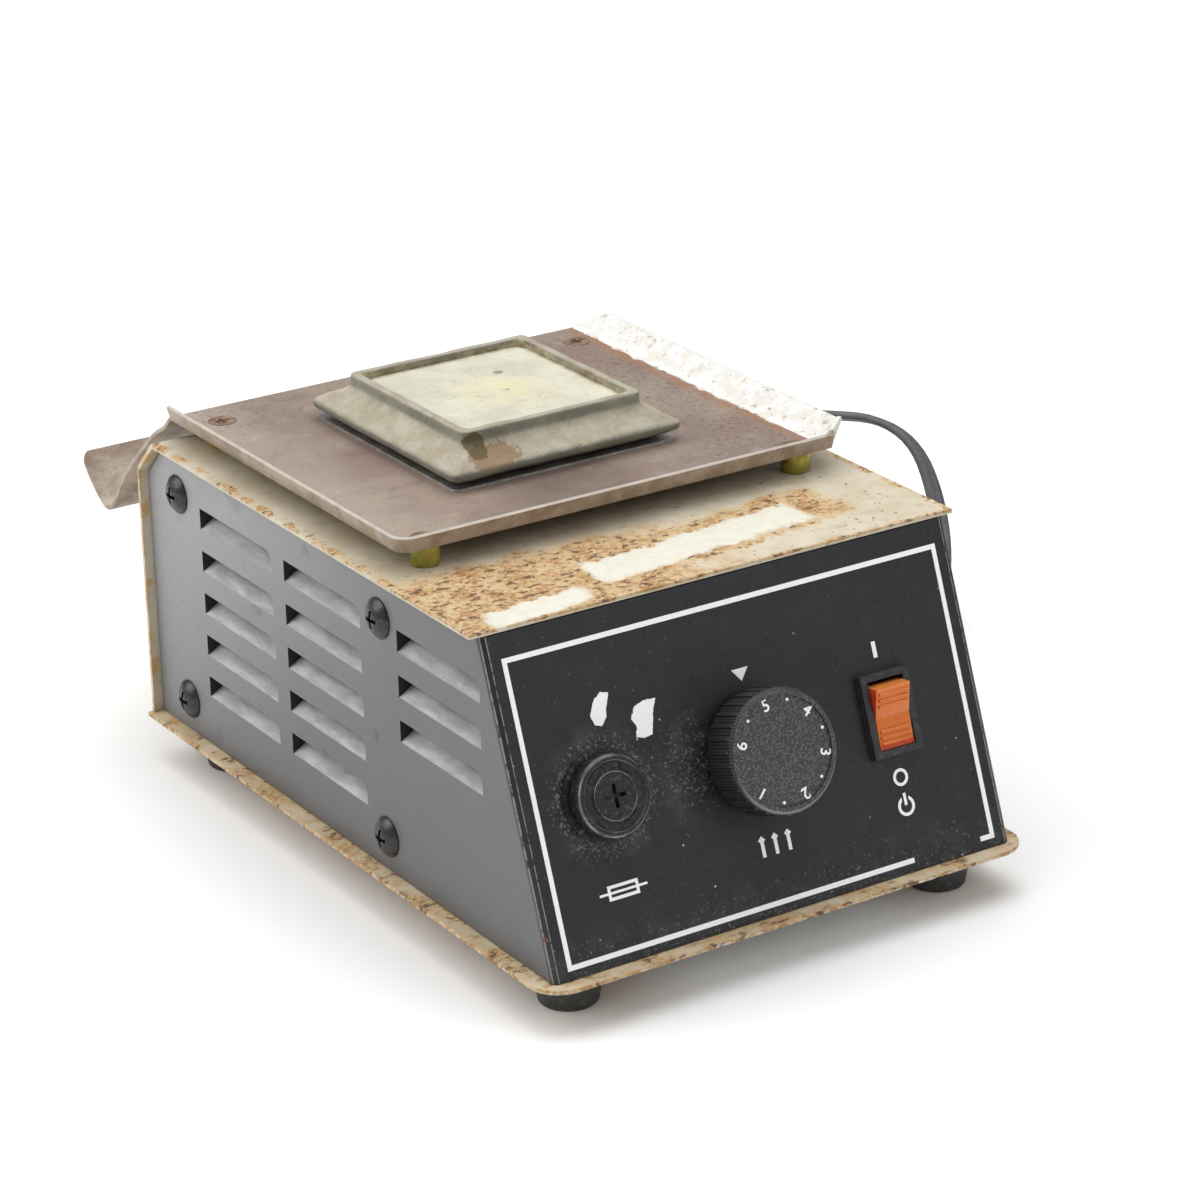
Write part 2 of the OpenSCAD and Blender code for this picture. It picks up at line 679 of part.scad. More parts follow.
module knob() color([0.11, 0.11, 0.12]) place() on_panel(0, knob_off) difference() {
    union() {
        cylinder(r = knob_d / 2 - 0.6, h = 1.2);
        translate([0, 0, 1.2]) cylinder(r = knob_d / 2, h = knob_h - 2);
        translate([0, 0, knob_h - 0.8]) cylinder(r1 = knob_d / 2, r2 = knob_d / 2 - 0.8, h = 0.8);
        // grip flutes
        for (a = [0 : 12 : 348]) rotate([0, 0, a])
            translate([knob_d / 2 - 0.15, 0, 1.2]) cylinder(r = 0.5, h = knob_h - 2.4, $fn = 13);
    }
    // shallow face inside the rim
    translate([0, 0, knob_h - 0.5]) cylinder(r = knob_d / 2 - 1.9, h = 1);
    // hollow underside round the nut
    translate([0, 0, -1]) cylinder(r = 9.5, h = 6.2);
    translate([0, 0, -1]) cylinder(r = shaft_r + 0.02, h = 1 + 19.5 - 9 - knob_off);
    translate([0, 0, 7.5]) rotate([0, 90, 0]) cylinder(r = 1.5, h = knob_d);
}

module knob_screw() color([0.5, 0.5, 0.5]) place() on_panel(0, knob_off)
    translate([shaft_r, 0, 7.5]) rotate([0, 90, 0]) difference() {
        cylinder(r = 1.5, h = 7);
        translate([0, 0, 5.8]) cylinder(r = 0.75, h = 2, $fn = 6);
    }

// ---- fuse holder ----
module fuse_holder() color([0.10, 0.10, 0.11]) place() on_panel(fuse_u) difference() {
    union() {
        cylinder(r = 12, h = 1.4);
        translate([0, 0, -holder_len]) cylinder(r = holder_r, h = holder_len + 0.1);
    }
    translate([0, 0, -holder_len + 2.5]) cylinder(r = stem_r + 0.4, h = holder_len + 5);
}

module fuse_nut() color([0.16, 0.16, 0.17]) place() on_panel(fuse_u, -shell_t - 3) difference() {
    cylinder(r = 10.5, h = 3);
    translate([0, 0, -1]) cylinder(r = holder_r + run, h = 5);
}

module fuse_cap() color([0.10, 0.10, 0.11]) place() on_panel(fuse_u, 1.8) difference() {
    r = fuse_cap_d / 2;
    union() {
        cylinder(r = r, h = 3.4);
        translate([0, 0, 3.4]) cylinder(r1 = r, r2 = r - 0.8, h = 0.8);
        translate([0, 0, -12]) cylinder(r = stem_r, h = 12.1);
        for (a = [0 : 20 : 340]) rotate([0, 0, a])
            translate([r - 0.1, 0, 0.3]) cylinder(r = 0.4, h = 3, $fn = 13);
    }
    // sunk face with a raised middle disc
    translate([0, 0, 3.7]) difference() {
        cylinder(r = r - 1.6, h = 1);
        translate([0, 0, -1]) cylinder(r = 6.2, h = 3);
    }
    translate([0, 0, 4.2]) cross_slot(6, 1.1, 1.6);
    // socket for the clip
    translate([0, 0, -13]) cylinder(r = clip_r + run, h = 13.2);
}

module fuse_clip() color([0.78, 0.68, 0.42]) place() on_panel(fuse_u, 1.6) difference() {
    translate([0, 0, -13]) cylinder(r = clip_r, h = 13);
    translate([0, 0, -14]) cylinder(r = fuse_r + 0.1, h = 12.8);
}

module fuse_glass() color([0.85, 0.9, 0.9, 0.4]) place()
    on_panel(fuse_u, 0.4 - fuse_len + 6) cylinder(r = fuse_r - 0.1, h = fuse_len - 12);

module fuse_ends() color([0.76, 0.76, 0.77]) place() on_panel(fuse_u) {
    translate([0, 0, 0.4 - fuse_len]) cylinder(r = fuse_r + 0.1, h = 6);
    translate([0, 0, 0.4 - 6]) cylinder(r = fuse_r + 0.1, h = 6);
}

// ---- rocker switch ----
module switch_body() color([0.10, 0.10, 0.11]) place() on_panel(rocker_u) difference() {
    union() {
        translate([-bezel_w / 2, -bezel_l / 2, 0]) cube([bezel_w, bezel_l, bezel_h]);
        translate([-6.5, -9.7, -18]) cube([13, 19.4, 18.1]);
    }
    translate([-5.6, -9.1, -11]) cube([11.2, 18.2, 20]);
    translate([-6, 0, pivot_off]) rotate([0, 90, 0]) cylinder(r = 1.2 + run, h = 12);
}

module rocker() color([0.93, 0.42, 0.12]) place() on_panel(rocker_u, pivot_off)
    rotate([rocker_tilt, 0, 0]) difference() {
        union() {
            translate([-rocker_w / 2, 0, 0]) rotate([90, 0, 90]) linear_extrude(rocker_w)
                polygon([[-5, -4.6], [5, -4.6], [8.2, -0.6], [8.2, 4.6], [0, 3.3], [-8.2, 4.6],
                    [-8.2, -0.6]]);
            rotate([0, 90, 0]) cylinder(r = 1.2, h = 11.8, center = true);
            for (s = [-1, 1], k = [0 : 2])
                translate([0, s * (3.4 + 1.6 * k), 3.84 + 0.254 * k]) rotate([0, 90, 0])
                    cylinder(r = 0.45, h = rocker_w - 1.6, center = true, $fn = 16);
        }
        // hollow underside for the lamp
        translate([-3.6, -4.2, -6]) cube([7.2, 8.4, 7.5]);
    }

module switch_lamp() color([0.95, 0.75, 0.55]) place() on_panel(rocker_u, pivot_off)
    rotate([rocker_tilt, 0, 0]) translate([0, 0, -2.6]) rotate([90, 0, 0])
        cylinder(r = 1.9, h = 8.4, center = true, $fn = 24);

module switch_blades() color([0.78, 0.76, 0.70]) place() on_panel(rocker_u)
    for (i = [-1 : 1]) translate([-2.4, i * 6 - 0.4, -26]) cube([4.8, 0.8, 8]);

// ---- control board ----
module board() color([0.35, 0.45, 0.25]) place() difference() {
    translate([board_x - board[0] / 2, board_y - board[1] / 2, board_z]) cube(board);
    at_posts() cylinder(r = 1.6, h = 60);
}

module board_posts() color([0.85, 0.84, 0.80]) place() at_posts()
    translate([0, 0, in_z0]) difference() {
        cylinder(r = 3.5, h = board_z - in_z0);
        translate([0, 0, -1]) cylinder(r = 1.5, h = 12);
    }

module board_screws() color([0.72, 0.72, 0.73]) place() at_posts() {
    translate([0, 0, board_z + board[2]]) difference() {
        cylinder(r = 2.8, h = 2);
        translate([0, 0, 2]) cross_slot(3.4, 0.7, 1);
    }
    translate([0, 0, board_z - 6]) cylinder(r = 1.5, h = 6 + board[2]);
    translate([0, 0, z_base]) cylinder(r = 1.5, h = 2.2);
}

module heat_sink() color([0.70, 0.71, 0.73]) place()
    translate([board_x - 14, board_y + 12, board_z + board[2]]) {
        cube([32, 2, 24]);
        for (i = [0 : 5]) translate([i * 6.08, 2, 0]) cube([1.6, 9, 24]);
    }

module triac() color([0.14, 0.14, 0.15]) place()
    translate([board_x - 3, board_y + 7.4, board_z + board[2]]) {
        translate([0, 0, 5]) cube([10, 4.6, 15]);
        for (i = [0 : 2]) translate([1.7 + i * 2.6, 2, 0]) cube([1, 0.6, 5]);
    }

module capacitor() color([0.25, 0.32, 0.55]) place() {
    translate([board_x - 32, board_y - 16, board_z + board[2]]) cube([18, 9, 14]);
    translate([board_x + 24, board_y + 2, board_z + board[2]]) cylinder(r = 5, h = 16);
}

module choke() color([0.66, 0.40, 0.22]) place()
    translate([board_x + 10, board_y - 12, board_z + board[2] + 5])
        rotate_extrude() translate([8, 0]) circle(4.4, $fn = 24);

module terminal_block() color([0.88, 0.87, 0.83]) place()
    translate([block_x - 17, block_y - 10, in_z0]) difference() {
        union() {
            cube([34, 20, 9]);
            for (i = [0 : 2]) translate([1 + i * 11, 3, 8.9]) cube([10, 14, 6]);
        }
        for (i = [0 : 2], y = [6.5, 13.5]) translate([6 + i * 11, y, 5]) cylinder(r = 2.15, h = 12);
        for (i = [0 : 2]) translate([6 + i * 11, -1, 5]) rotate([-90, 0, 0]) cylinder(r = 2, h = 22);
    }

module terminal_screws() color([0.78, 0.76, 0.70]) place()
    for (i = [0 : 2], y = [6.5, 13.5])
        translate([block_x - 11 + i * 11, block_y - 10 + y, in_z0 + 7]) difference() {
            cylinder(r = 2.1, h = 6);
            translate([-3, -0.4, 5]) cube([6, 0.8, 2]);
        }

// ---- internal wiring ----
module heater_leads() color([0.92, 0.90, 0.84]) place() {
    hz = pot_foot - heater_t / 2;
    y0 = pot_y - pot_d / 2 + 1.3;
    end_z = board_z + board[2] + 0.25;
    tube([[-14, y0, hz], [-14, 107, hz], [-14, 103, hz - 2], [-15, 96, hz - 12], [-16, 97, 50],
        [-16, 104, 36], [-16, 107, 30], [-16, 107.3, end_z]], 1.5, 1.5, 4);
    tube([[14, y0, hz], [14, 107, hz], [14, 103, hz - 2], [16, 96, hz - 12], [20, 95, 50],
        [21, 98, 38], [21, 101, 30], [21, 101.3, end_z]], 1.5, 1.5, 4);
}

module mains_leads() color([0.55, 0.30, 0.20]) place() {
    bz = in_z0 + 5;
    yb = block_y + 10;
    ys = block_y - 10;
    tube([[block_x + 11, ys, bz], [55, 156, 20], [60, 124, 24], [56, 84, 36], [49, 66, 40],
        panel_point(rocker_u, ctl_v, -35), panel_point(rocker_u, ctl_v, -26.3)], 1.3, 1.3, 5);
    tube([[block_x - 11, ys, bz], [32, 158, 19], [34, 120, 22], [29, 98, 28], [21, 96, 30],
        [20, 96, 26.5], [20, 96, board_z + board[2] + 0.25]], 1.3, 1.3, 4);
    tube([panel_point(rocker_u, ctl_v - 6, -26.3), panel_point(rocker_u, ctl_v - 6, -35),
        [34, 64, 32], [10, 70, 31], [-24, 76, 31], panel_point(fuse_u, ctl_v, -holder_len - 12),
        panel_point(fuse_u, ctl_v, -holder_len - 0.5)], 1.3, 1.3, 4);
}

module signal_leads() color([0.75, 0.68, 0.30]) place()
    for (i = [-1 : 1]) tube([panel_point(i * 5, ctl_v - 17, -8), [i * 4 - 1, 34, 27],
        [i * 3 - 6, 54, 23], [i * 3 - 14, 74, 26], [i * 3 - 17, 84, 29], [i * 3 - 18, 88, 27],
        [i * 3 - 18, 88.3, board_z + board[2] + 0.25]], 0.8, 0.8, 4);

// ---- mains cord ----
module cord_bushing() color([0.10, 0.10, 0.11]) place()
    translate([bush_x, base_d, bush_z]) rotate([-90, 0, 0]) difference() {
        union() {
            translate([0, 0, -plate_t - 4]) cylinder(r = 7.2, h = 4);
            translate([0, 0, -plate_t - 1]) cylinder(r = 6, h = plate_t + 1.1);
            cylinder(r = 8, h = 3);
            translate([0, 0, 2.9]) cylinder(r1 = 5.6, r2 = 3.9, h = 21);
        }
        translate([0, 0, -8]) linear_extrude(40) rrect(cord_w, cord_t, cord_t / 2 - 0.01);
    }

module cord() color([0.13, 0.13, 0.14]) place()
    tube(cord_route, cord_t / 2, cord_w / 2, 2, 12);

module cord_coil() color([0.13, 0.13, 0.14]) place() translate([coil_c[0], coil_c[1], 0])
    rotate_extrude() difference() {
        translate([coil_hole, 0]) square([coil_r - coil_hole, coil_h]);
        for (x = [coil_hole, coil_r], z = [0, coil_h]) translate([x, z]) rotate([0, 0, 45])
            square([3, 3], center = true);
    }

// the plug lies flat on the coil with its blades towards the back
module plug_pose() {
    translate([plug_c[0], plug_c[1], coil_h + plug_t / 2]) rotate([-90, 0, 0]) children();
}

module plug() color([0.12, 0.12, 0.13]) place() plug_pose() {
    translate([0, 0, -4]) linear_extrude(21) rrect(plug_w, plug_t, 5);
    translate([0, 0, -26]) cylinder(r1 = 3.6, r2 = 6.2, h = 22.1);
}

module plug_blades() color([0.78, 0.76, 0.70]) place() plug_pose()
    for (s = [-1, 1]) translate([s * 6.35 - 0.75, -3.2, 17]) cube([1.5, 6.4, 17]);

chassis();
shell();
panel_print();
rail_top_left();
rail_top_right();
rail_bottom_left();
rail_bottom_right();
side_screws();
feet();
foot_screws();
foot_nuts();
under_label();
tray();
tray_spacers();
tray_screws();
tray_nuts();
pot();
solder();
pot_seat();
heater();
heater_backing();
insulation();
pot_bracket();
pot_studs();
pot_nuts();
dial_body();
dial_nut();
dial_shaft();
knob();
knob_screw();
fuse_holder();
fuse_nut();
fuse_cap();
fuse_clip();
fuse_glass();
fuse_ends();
switch_body();
rocker();
switch_lamp();
switch_blades();
board();
board_posts();
board_screws();
heat_sink();
triac();
capacitor();
choke();
terminal_block();
terminal_screws();
heater_leads();
mains_leads();
signal_leads();
cord_bushing();
cord();
cord_coil();
plug();
plug_blades();
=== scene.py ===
import math

import bmesh
import bpy
from mathutils import Matrix, Vector, noise


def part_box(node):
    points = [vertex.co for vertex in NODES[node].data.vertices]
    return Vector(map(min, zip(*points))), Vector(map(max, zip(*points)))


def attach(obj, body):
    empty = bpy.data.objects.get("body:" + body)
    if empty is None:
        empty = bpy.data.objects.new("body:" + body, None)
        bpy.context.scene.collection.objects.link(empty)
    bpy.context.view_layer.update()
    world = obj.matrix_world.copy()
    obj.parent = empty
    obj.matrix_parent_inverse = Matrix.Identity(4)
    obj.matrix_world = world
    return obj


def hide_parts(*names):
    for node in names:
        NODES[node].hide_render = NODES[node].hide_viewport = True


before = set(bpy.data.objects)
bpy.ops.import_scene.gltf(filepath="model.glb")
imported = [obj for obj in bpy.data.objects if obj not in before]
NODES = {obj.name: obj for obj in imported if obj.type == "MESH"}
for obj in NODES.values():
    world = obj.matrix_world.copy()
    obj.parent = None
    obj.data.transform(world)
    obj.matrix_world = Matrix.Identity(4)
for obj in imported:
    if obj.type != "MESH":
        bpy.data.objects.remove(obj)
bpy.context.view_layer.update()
MM = 0.001

# ---- measures taken from the part, in millimetres of the row frame ----
Y_MID = 131.0  # the part's own y starts at the base plate's front edge
TILT = math.radians(20.3)
PANEL_FOOT = Vector((0, 3.4 - Y_MID, 12.0))
PANEL_UP = Vector((0, math.sin(TILT), math.cos(TILT)))
PANEL_OUT = Vector((0, -math.cos(TILT), math.sin(TILT)))
DIAL_V = 43.2  # the dial's and the fuse's height up the panel
FUSE_U = -46.0
KNOB_FACE = 12.7  # outer faces, measured out from the panel
CAP_FACE = 5.5
BASE_Z = 12.0  # underside of the bottom plate
TOP_Z = 96.5  # upper face of the top plate
TRAY_BACK_Y = 70.0  # where the tray's floor ends and the trough begins
FRONT_LIP_Y = -53.5
LEFT_LIP_X = -66.4
LIP_EDGE_Z = 106.45  # from here up a lip's edge carries a painted highlight
FLANGE_START_X = 65.6
FLANGE_TOP_Z = 107.9
POT_Y = 10.0
POT_RIM_Z = 117.0
POT_HALF_X, POT_HALF_Y = 36.2, 38.2  # the pot's flange
BATH_HALF_X, BATH_HALF_Y = 25.9, 27.9  # its inner walls
CORD_WIDE = 5.4
CORD_THICK = 2.8
WELD = 2e-6  # metres


def panel(u, v, off):
    """A point on the front panel, in millimetres: across, up the slope and outwards."""
    return PANEL_FOOT + Vector((u, 0, 0)) + PANEL_UP * v + PANEL_OUT * off


# ---- camera ----
CAMERA_AT = Vector((-0.53321, -0.87620, 0.47344))
AZIMUTH, ELEVATION, ROLL = (math.radians(a) for a in (32.552, 22.158, -1.216))
FOCAL_LENGTH = 121.535  # for a sensor 36 mm wide


def place(name, data):
    obj = bpy.data.objects.new(name, data)
    bpy.context.collection.objects.link(obj)
    return obj


def make_camera():
    data = bpy.data.cameras.new("camera")
    data.lens = FOCAL_LENGTH
    data.sensor_width = 36.0
    data.clip_start = 0.05
    data.clip_end = 50.0
    cam = place("camera", data)
    ahead = Vector((math.sin(AZIMUTH) * math.cos(ELEVATION),
                    math.cos(AZIMUTH) * math.cos(ELEVATION), -math.sin(ELEVATION)))
    level = Vector((math.cos(AZIMUTH), -math.sin(AZIMUTH), 0))
    side = level * math.cos(ROLL) + level.cross(ahead) * math.sin(ROLL)
    up = side.cross(ahead)
    turn = Matrix((side, up, -ahead)).transposed()
    cam.matrix_world = Matrix.Translation(CAMERA_AT) @ turn.to_4x4()
    bpy.context.scene.camera = cam


make_camera()


# ---- mesh helpers ----
def new_piece(name, verts, faces, smooth, material, body="station"):
    """A mesh in metres from points in millimetres, riding on a body."""
    mesh = bpy.data.meshes.new(name)
    mesh.from_pydata([Vector(v) * MM for v in verts], [], faces)
    mesh.validate()
    bm = bmesh.new()
    bm.from_mesh(mesh)
    bmesh.ops.recalc_face_normals(bm, faces=bm.faces)
    bm.to_mesh(mesh)
    bm.free()
    for poly in mesh.polygons:
        poly.use_smooth = smooth
    obj = place(name, mesh)
    mesh.materials.append(material)
    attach(obj, body)
    return obj


def band(a, b, count, closed=True):
    """Quads between two runs of count points, the first at index a and the second at b."""
    return [(a + k, b + k, b + (k + 1) % count, a + (k + 1) % count)
            for k in range(count if closed else count - 1)]


def spline(p, per):
    """Points on a smooth curve through p, per steps to a span."""
    out = []
    last = len(p) - 1
    for i in range(last):
        a, b, c, d = (p[max(i - 1, 0)], p[i], p[i + 1], p[min(i + 2, last)])
        for k in range(per):
            t = k / per
            out.append(0.5 * ((2 * b) + (c - a) * t + (2 * a - 5 * b + 4 * c - d) * t * t
                              + (3 * b - a - 3 * c + d) * t ** 3))
    return out + [p[last]]


# ---- the cord: a flat twin lead from the bushing to its coil and plug ----
CORD_ROUTE = [
    (48, 234.5, 34), (48, 240, 34), (51, 254, 34), (62, 269, 35), (80, 278.5, 37), (102, 278, 40),
    (124, 267, 43.5), (143, 249, 46.5), (157, 230.5, 48.8), (166.5, 215.5, 50.6),
    (172.2, 203, 51.8), (175.6, 192.5, 49.9), (176.9, 184, 45.0), (176.1, 176.5, 37.5),
    (173.8, 169.5, 29.3),
    (170.3, 163, 22), (164.5, 156, 15), (156, 148.6, 8.8), (146.5, 143, 4.8), (137, 141.2, 3),
    (128, 142.9, 3), (120.4, 147.9, 3), (115.4, 155.4, 3), (113.6, 164.6, 3), (113.6, 186, 3),
]
COIL_MID = Vector((149, 208, 0))
TURNS = (35.4, 30.0, 24.6, 24.6, 30.0, 35.4)
STEPS = 30  # points to a turn
LAST_TURN = 0.74  # share of the top turn that is wound before the cord swings in to the plug
LIFT_FROM = 0.60  # share of the top turn after which the cord rises towards the plug
SWING = 27.0  # radius of the bend into the plug
SWING_STEPS = 6
PLUG_Z = 18.3
CORD_FINE = 3  # steps between two points of the route
CORD_SIDES = 24
CORD_FIT = 0.995  # keeps the cord's edge just inside the coil drawn in the CAD


def ease(t):
    t = min(1.0, max(0.0, t))
    return t * t * (3 - 2 * t)


def ring_point(share, radius, z):
    angle = math.pi - 2 * math.pi * share
    return COIL_MID + Vector((radius * math.cos(angle), radius * math.sin(angle), z))


def coil_points():
    """Three turns inwards on the table, three outwards on top of them, then up into the plug."""
    out = []
    low, high = CORD_WIDE / 2 + 0.1, 1.5 * CORD_WIDE
    outer = TURNS[-1]
    leave = ring_point(LAST_TURN, outer, 0)
    inward = (COIL_MID - leave).normalized()
    centre = leave + inward * SWING
    start = math.atan2(-inward.y, -inward.x)
    lift_run = 2 * math.pi * outer * (LAST_TURN - LIFT_FROM)
    swing_run = SWING * (math.pi + start)
    for turn, r in enumerate(TURNS):
        after = TURNS[min(turn + 1, len(TURNS) - 1)]
        last = turn == len(TURNS) - 1
        for k in range(round(STEPS * LAST_TURN) if last else STEPS):
            share = k / STEPS
            z = low if turn < 2 else high
            if turn == 2:
                z = low + (high - low) * ease((share - 0.72) / 0.26)
            if last:
                gone = 2 * math.pi * outer * (share - LIFT_FROM)
                z += (PLUG_Z - high) * ease(gone / (lift_run + swing_run))
            out.append(ring_point(share, r + (after - r) * ease((share - 0.62) / 0.36), z))
    for k in range(SWING_STEPS + 1):
        angle = start - (math.pi + start) * k / SWING_STEPS
        gone = lift_run + SWING * (start - angle)
        z = high + (PLUG_Z - high) * ease(gone / (lift_run + swing_run))
        out.append(centre + Vector((SWING * math.cos(angle), SWING * math.sin(angle), z)))
    return out + [out[-1] + Vector((0, 5, 0))]


def cord_line():
    run = [Vector(p) for p in CORD_ROUTE] + coil_points()
    return [p - Vector((0, Y_MID, 0)) for p in spline(run, CORD_FINE)]


def twin_section(turned):
    """Outline of the twin lead: two round cores side by side with a groove between."""
    out = []
    for k in range(CORD_SIDES):
        a = 2 * math.pi * k / CORD_SIDES
        wide = CORD_FIT * CORD_WIDE / 2 * math.cos(a)
        thick = CORD_THICK / 2 * math.copysign(abs(math.sin(a)) ** 0.55, math.sin(a))
        thick *= 1 - 0.34 * math.exp(-(wide / 0.62) ** 2)
        out.append((wide * math.cos(turned) - thick * math.sin(turned),
                    wide * math.sin(turned) + thick * math.cos(turned)))
    return out


def make_cord(material):
    line = cord_line()
    count = len(line)
    tangents = [(line[min(i + 1, count - 1)] - line[max(i - 1, 0)]).normalized()
                for i in range(count)]
    # the cord turns on edge over the last of the route, and rolls a little where it hangs
    edge_from, edge_run = CORD_FINE * len(CORD_ROUTE) - 16, 22
    roll_from, roll_run, roll = 8, 34, 0.55
    verts, faces = [], []
    side = Vector((1, 0, 0))
    for i, (p, t) in enumerate(zip(line, tangents)):
        # the wide side stays level; near-vertical stretches keep the direction they had
        level = t.cross(Vector((0, 0, 1)))
        if level.length > 0.25:
            aim = level.normalized()
            side = (side - side.dot(t) * t).normalized()
            side = (side * 0.6 + aim * 0.4 * (1 if side.dot(aim) >= 0 else -1)).normalized()
        side = (side - side.dot(t) * t).normalized()
        over = side.cross(t).normalized()
        on_edge = math.pi / 2 * ease((i - edge_from) / edge_run)
        rolled = roll * math.sin(math.pi * min(1, max(0, (i - roll_from) / roll_run)))
        verts += [p + side * a + over * b for a, b in twin_section(on_edge + rolled)]
    n = CORD_SIDES
    for i in range(count - 1):
        faces += band(i * n, (i + 1) * n, n)
    faces.append(tuple(range(n))[::-1])
    faces.append(tuple((count - 1) * n + k for k in range(n)))
    piece = new_piece("mains_cord", verts, faces, True, material)
    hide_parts("cord", "cord_coil")


# ---- procedural materials ----
def rgb(r, g, b):
    """A colour given as 0-255 screen values, in linear light."""
    def lin(c):
        c /= 255
        return c / 12.92 if c <= 0.04045 else ((c + 0.055) / 1.055) ** 2.4
    return (lin(r), lin(g), lin(b), 1.0)


class Mat:
    """A node material built up call by call; lengths are in millimetres."""

    def __init__(self, name, **sockets):
        self.name = name  # Blender numbers the material when the CAD's own has the name
        self.material = bpy.data.materials.new(name)
        self.material.use_nodes = True
        self.tree = self.material.node_tree
        self.tree.nodes.clear()
        out = self.node("OutputMaterial")
        self.shader = self.node("BsdfPrincipled")
        self.tree.links.new(self.shader.outputs[0], out.inputs[0])
        for key, value in sockets.items():
            self.put(key.replace("_", " "), value)
        self.place = self.node("TexCoord").outputs["Object"]

    def node(self, kind):
        return self.tree.nodes.new("ShaderNode" + kind)

    def feed(self, socket, value):
        if isinstance(value, bpy.types.NodeSocket):
            self.tree.links.new(value, socket)
        else:
            socket.default_value = value

    def put(self, key, value):
        self.feed(self.shader.inputs[key], value)

    def xyz(self):
        n = self.node("SeparateXYZ")
        self.feed(n.inputs[0], self.place)
        return [self.times(n.outputs[i], 1000.0) for i in range(3)]

    def calc(self, how, a, b=0.0):
        n = self.node("Math")
        n.operation = how
        self.feed(n.inputs[0], a)
        self.feed(n.inputs[1], b)
        return n.outputs[0]

    def plus(self, a, b):
        return self.calc("ADD", a, b)

    def minus(self, a, b):
        return self.calc("SUBTRACT", a, b)

    def times(self, a, b):
        return self.calc("MULTIPLY", a, b)

    def absolute(self, value):
        return self.calc("ABSOLUTE", value)

    def sine(self, value):
        return self.calc("SINE", value)

    def stretch(self, sx, sy, sz, turn=(0, 0, 0)):
        n = self.node("Mapping")
        self.feed(n.inputs["Vector"], self.place)
        n.inputs["Scale"].default_value = (sx, sy, sz)
        n.inputs["Rotation"].default_value = turn
        return n.outputs[0]

    def noise(self, size, detail=4.0, rough=0.55, warp=0.0, at=None):
        n = self.node("TexNoise")
        self.feed(n.inputs["Vector"], at or self.place)
        n.inputs["Scale"].default_value = 1000.0 / size
        n.inputs["Detail"].default_value = detail
        n.inputs["Roughness"].default_value = rough
        n.inputs["Distortion"].default_value = warp
        return n.outputs["Fac"]

    def drift(self, reach, size, detail, rough):
        """Noise about zero, of that reach."""
        return self.times(self.minus(self.noise(size, detail, rough), 0.5), reach)

    def cells(self, size):
        """Distance from the middle of scattered cells."""
        n = self.node("TexVoronoi")
        self.feed(n.inputs["Vector"], self.place)
        n.inputs["Scale"].default_value = 1000.0 / size
        return n.outputs["Distance"]

    def step(self, value, low, high, to_low=0.0, to_high=1.0):
        n = self.node("MapRange")
        n.interpolation_type = "SMOOTHSTEP"
        self.feed(n.inputs["Value"], value)
        for key, number in (("From Min", low), ("From Max", high),
                            ("To Min", to_low), ("To Max", to_high)):
            n.inputs[key].default_value = number
        return n.outputs["Result"]

    def mix(self, share, a, b):
        n = self.node("Mix")
        n.data_type = "RGBA"
        self.feed(n.inputs["Factor"], share)
        self.feed(n.inputs[6], a)
        self.feed(n.inputs[7], b)
        return n.outputs[2]

    def coat(self, under, mask, share, tone):
        """A colour with a share of another laid over it where the mask is."""
        return self.mix(self.times(mask, share), under, tone)

    def blend(self, share, a, b):
        """Two numbers mixed."""
        n = self.node("Mix")
        self.feed(n.inputs["Factor"], share)
        self.feed(n.inputs[2], a)
        self.feed(n.inputs[3], b)
        return n.outputs[0]

    def all_of(self, *values):
        out = values[0]
        for value in values[1:]:
            out = self.times(out, value)
        return out

    def any_of(self, *values):
        out = values[0]
        for value in values[1:]:
            out = self.calc("MAXIMUM", out, value)
        return out

    def invert(self, value):
        return self.minus(1.0, value)

    def between(self, value, low, high, soft):
        return self.all_of(self.step(value, low - soft, low + soft),
                           self.step(value, high + soft, high - soft))

    def facing(self, axis):
        """How far the surface faces along an axis, -1 to 1."""
        n = self.node("SeparateXYZ")
        self.feed(n.inputs[0], self.node("NewGeometry").outputs["Normal"])
        return n.outputs[axis]

    def panel_uv(self):
        """Across and up-the-slope coordinates of the front panel."""
        x = self.xyz()[0]
        return x, self.from_panel(PANEL_UP)

    def from_panel(self, axis):
        """Distance from the panel's foot along one of its own axes."""
        x, y, z = self.xyz()
        y = self.minus(y, PANEL_FOOT.y)
        z = self.minus(z, PANEL_FOOT.z)
        return self.plus(self.times(y, axis.y), self.times(z, axis.z))

    def away(self, u, v, u0, v0):
        """Distance from a point, in two coordinates."""
        du = self.minus(u, u0)
        dv = self.minus(v, v0)
        return self.calc("SQRT", self.plus(self.times(du, du), self.times(dv, dv)))

    def bump(self, height, depth):
        """Relief of that depth, in millimetres."""
        n = self.node("Bump")
        n.inputs["Strength"].default_value = 1.0
        n.inputs["Distance"].default_value = depth * MM
        self.feed(n.inputs["Height"], height)
        self.put("Normal", n.outputs[0])


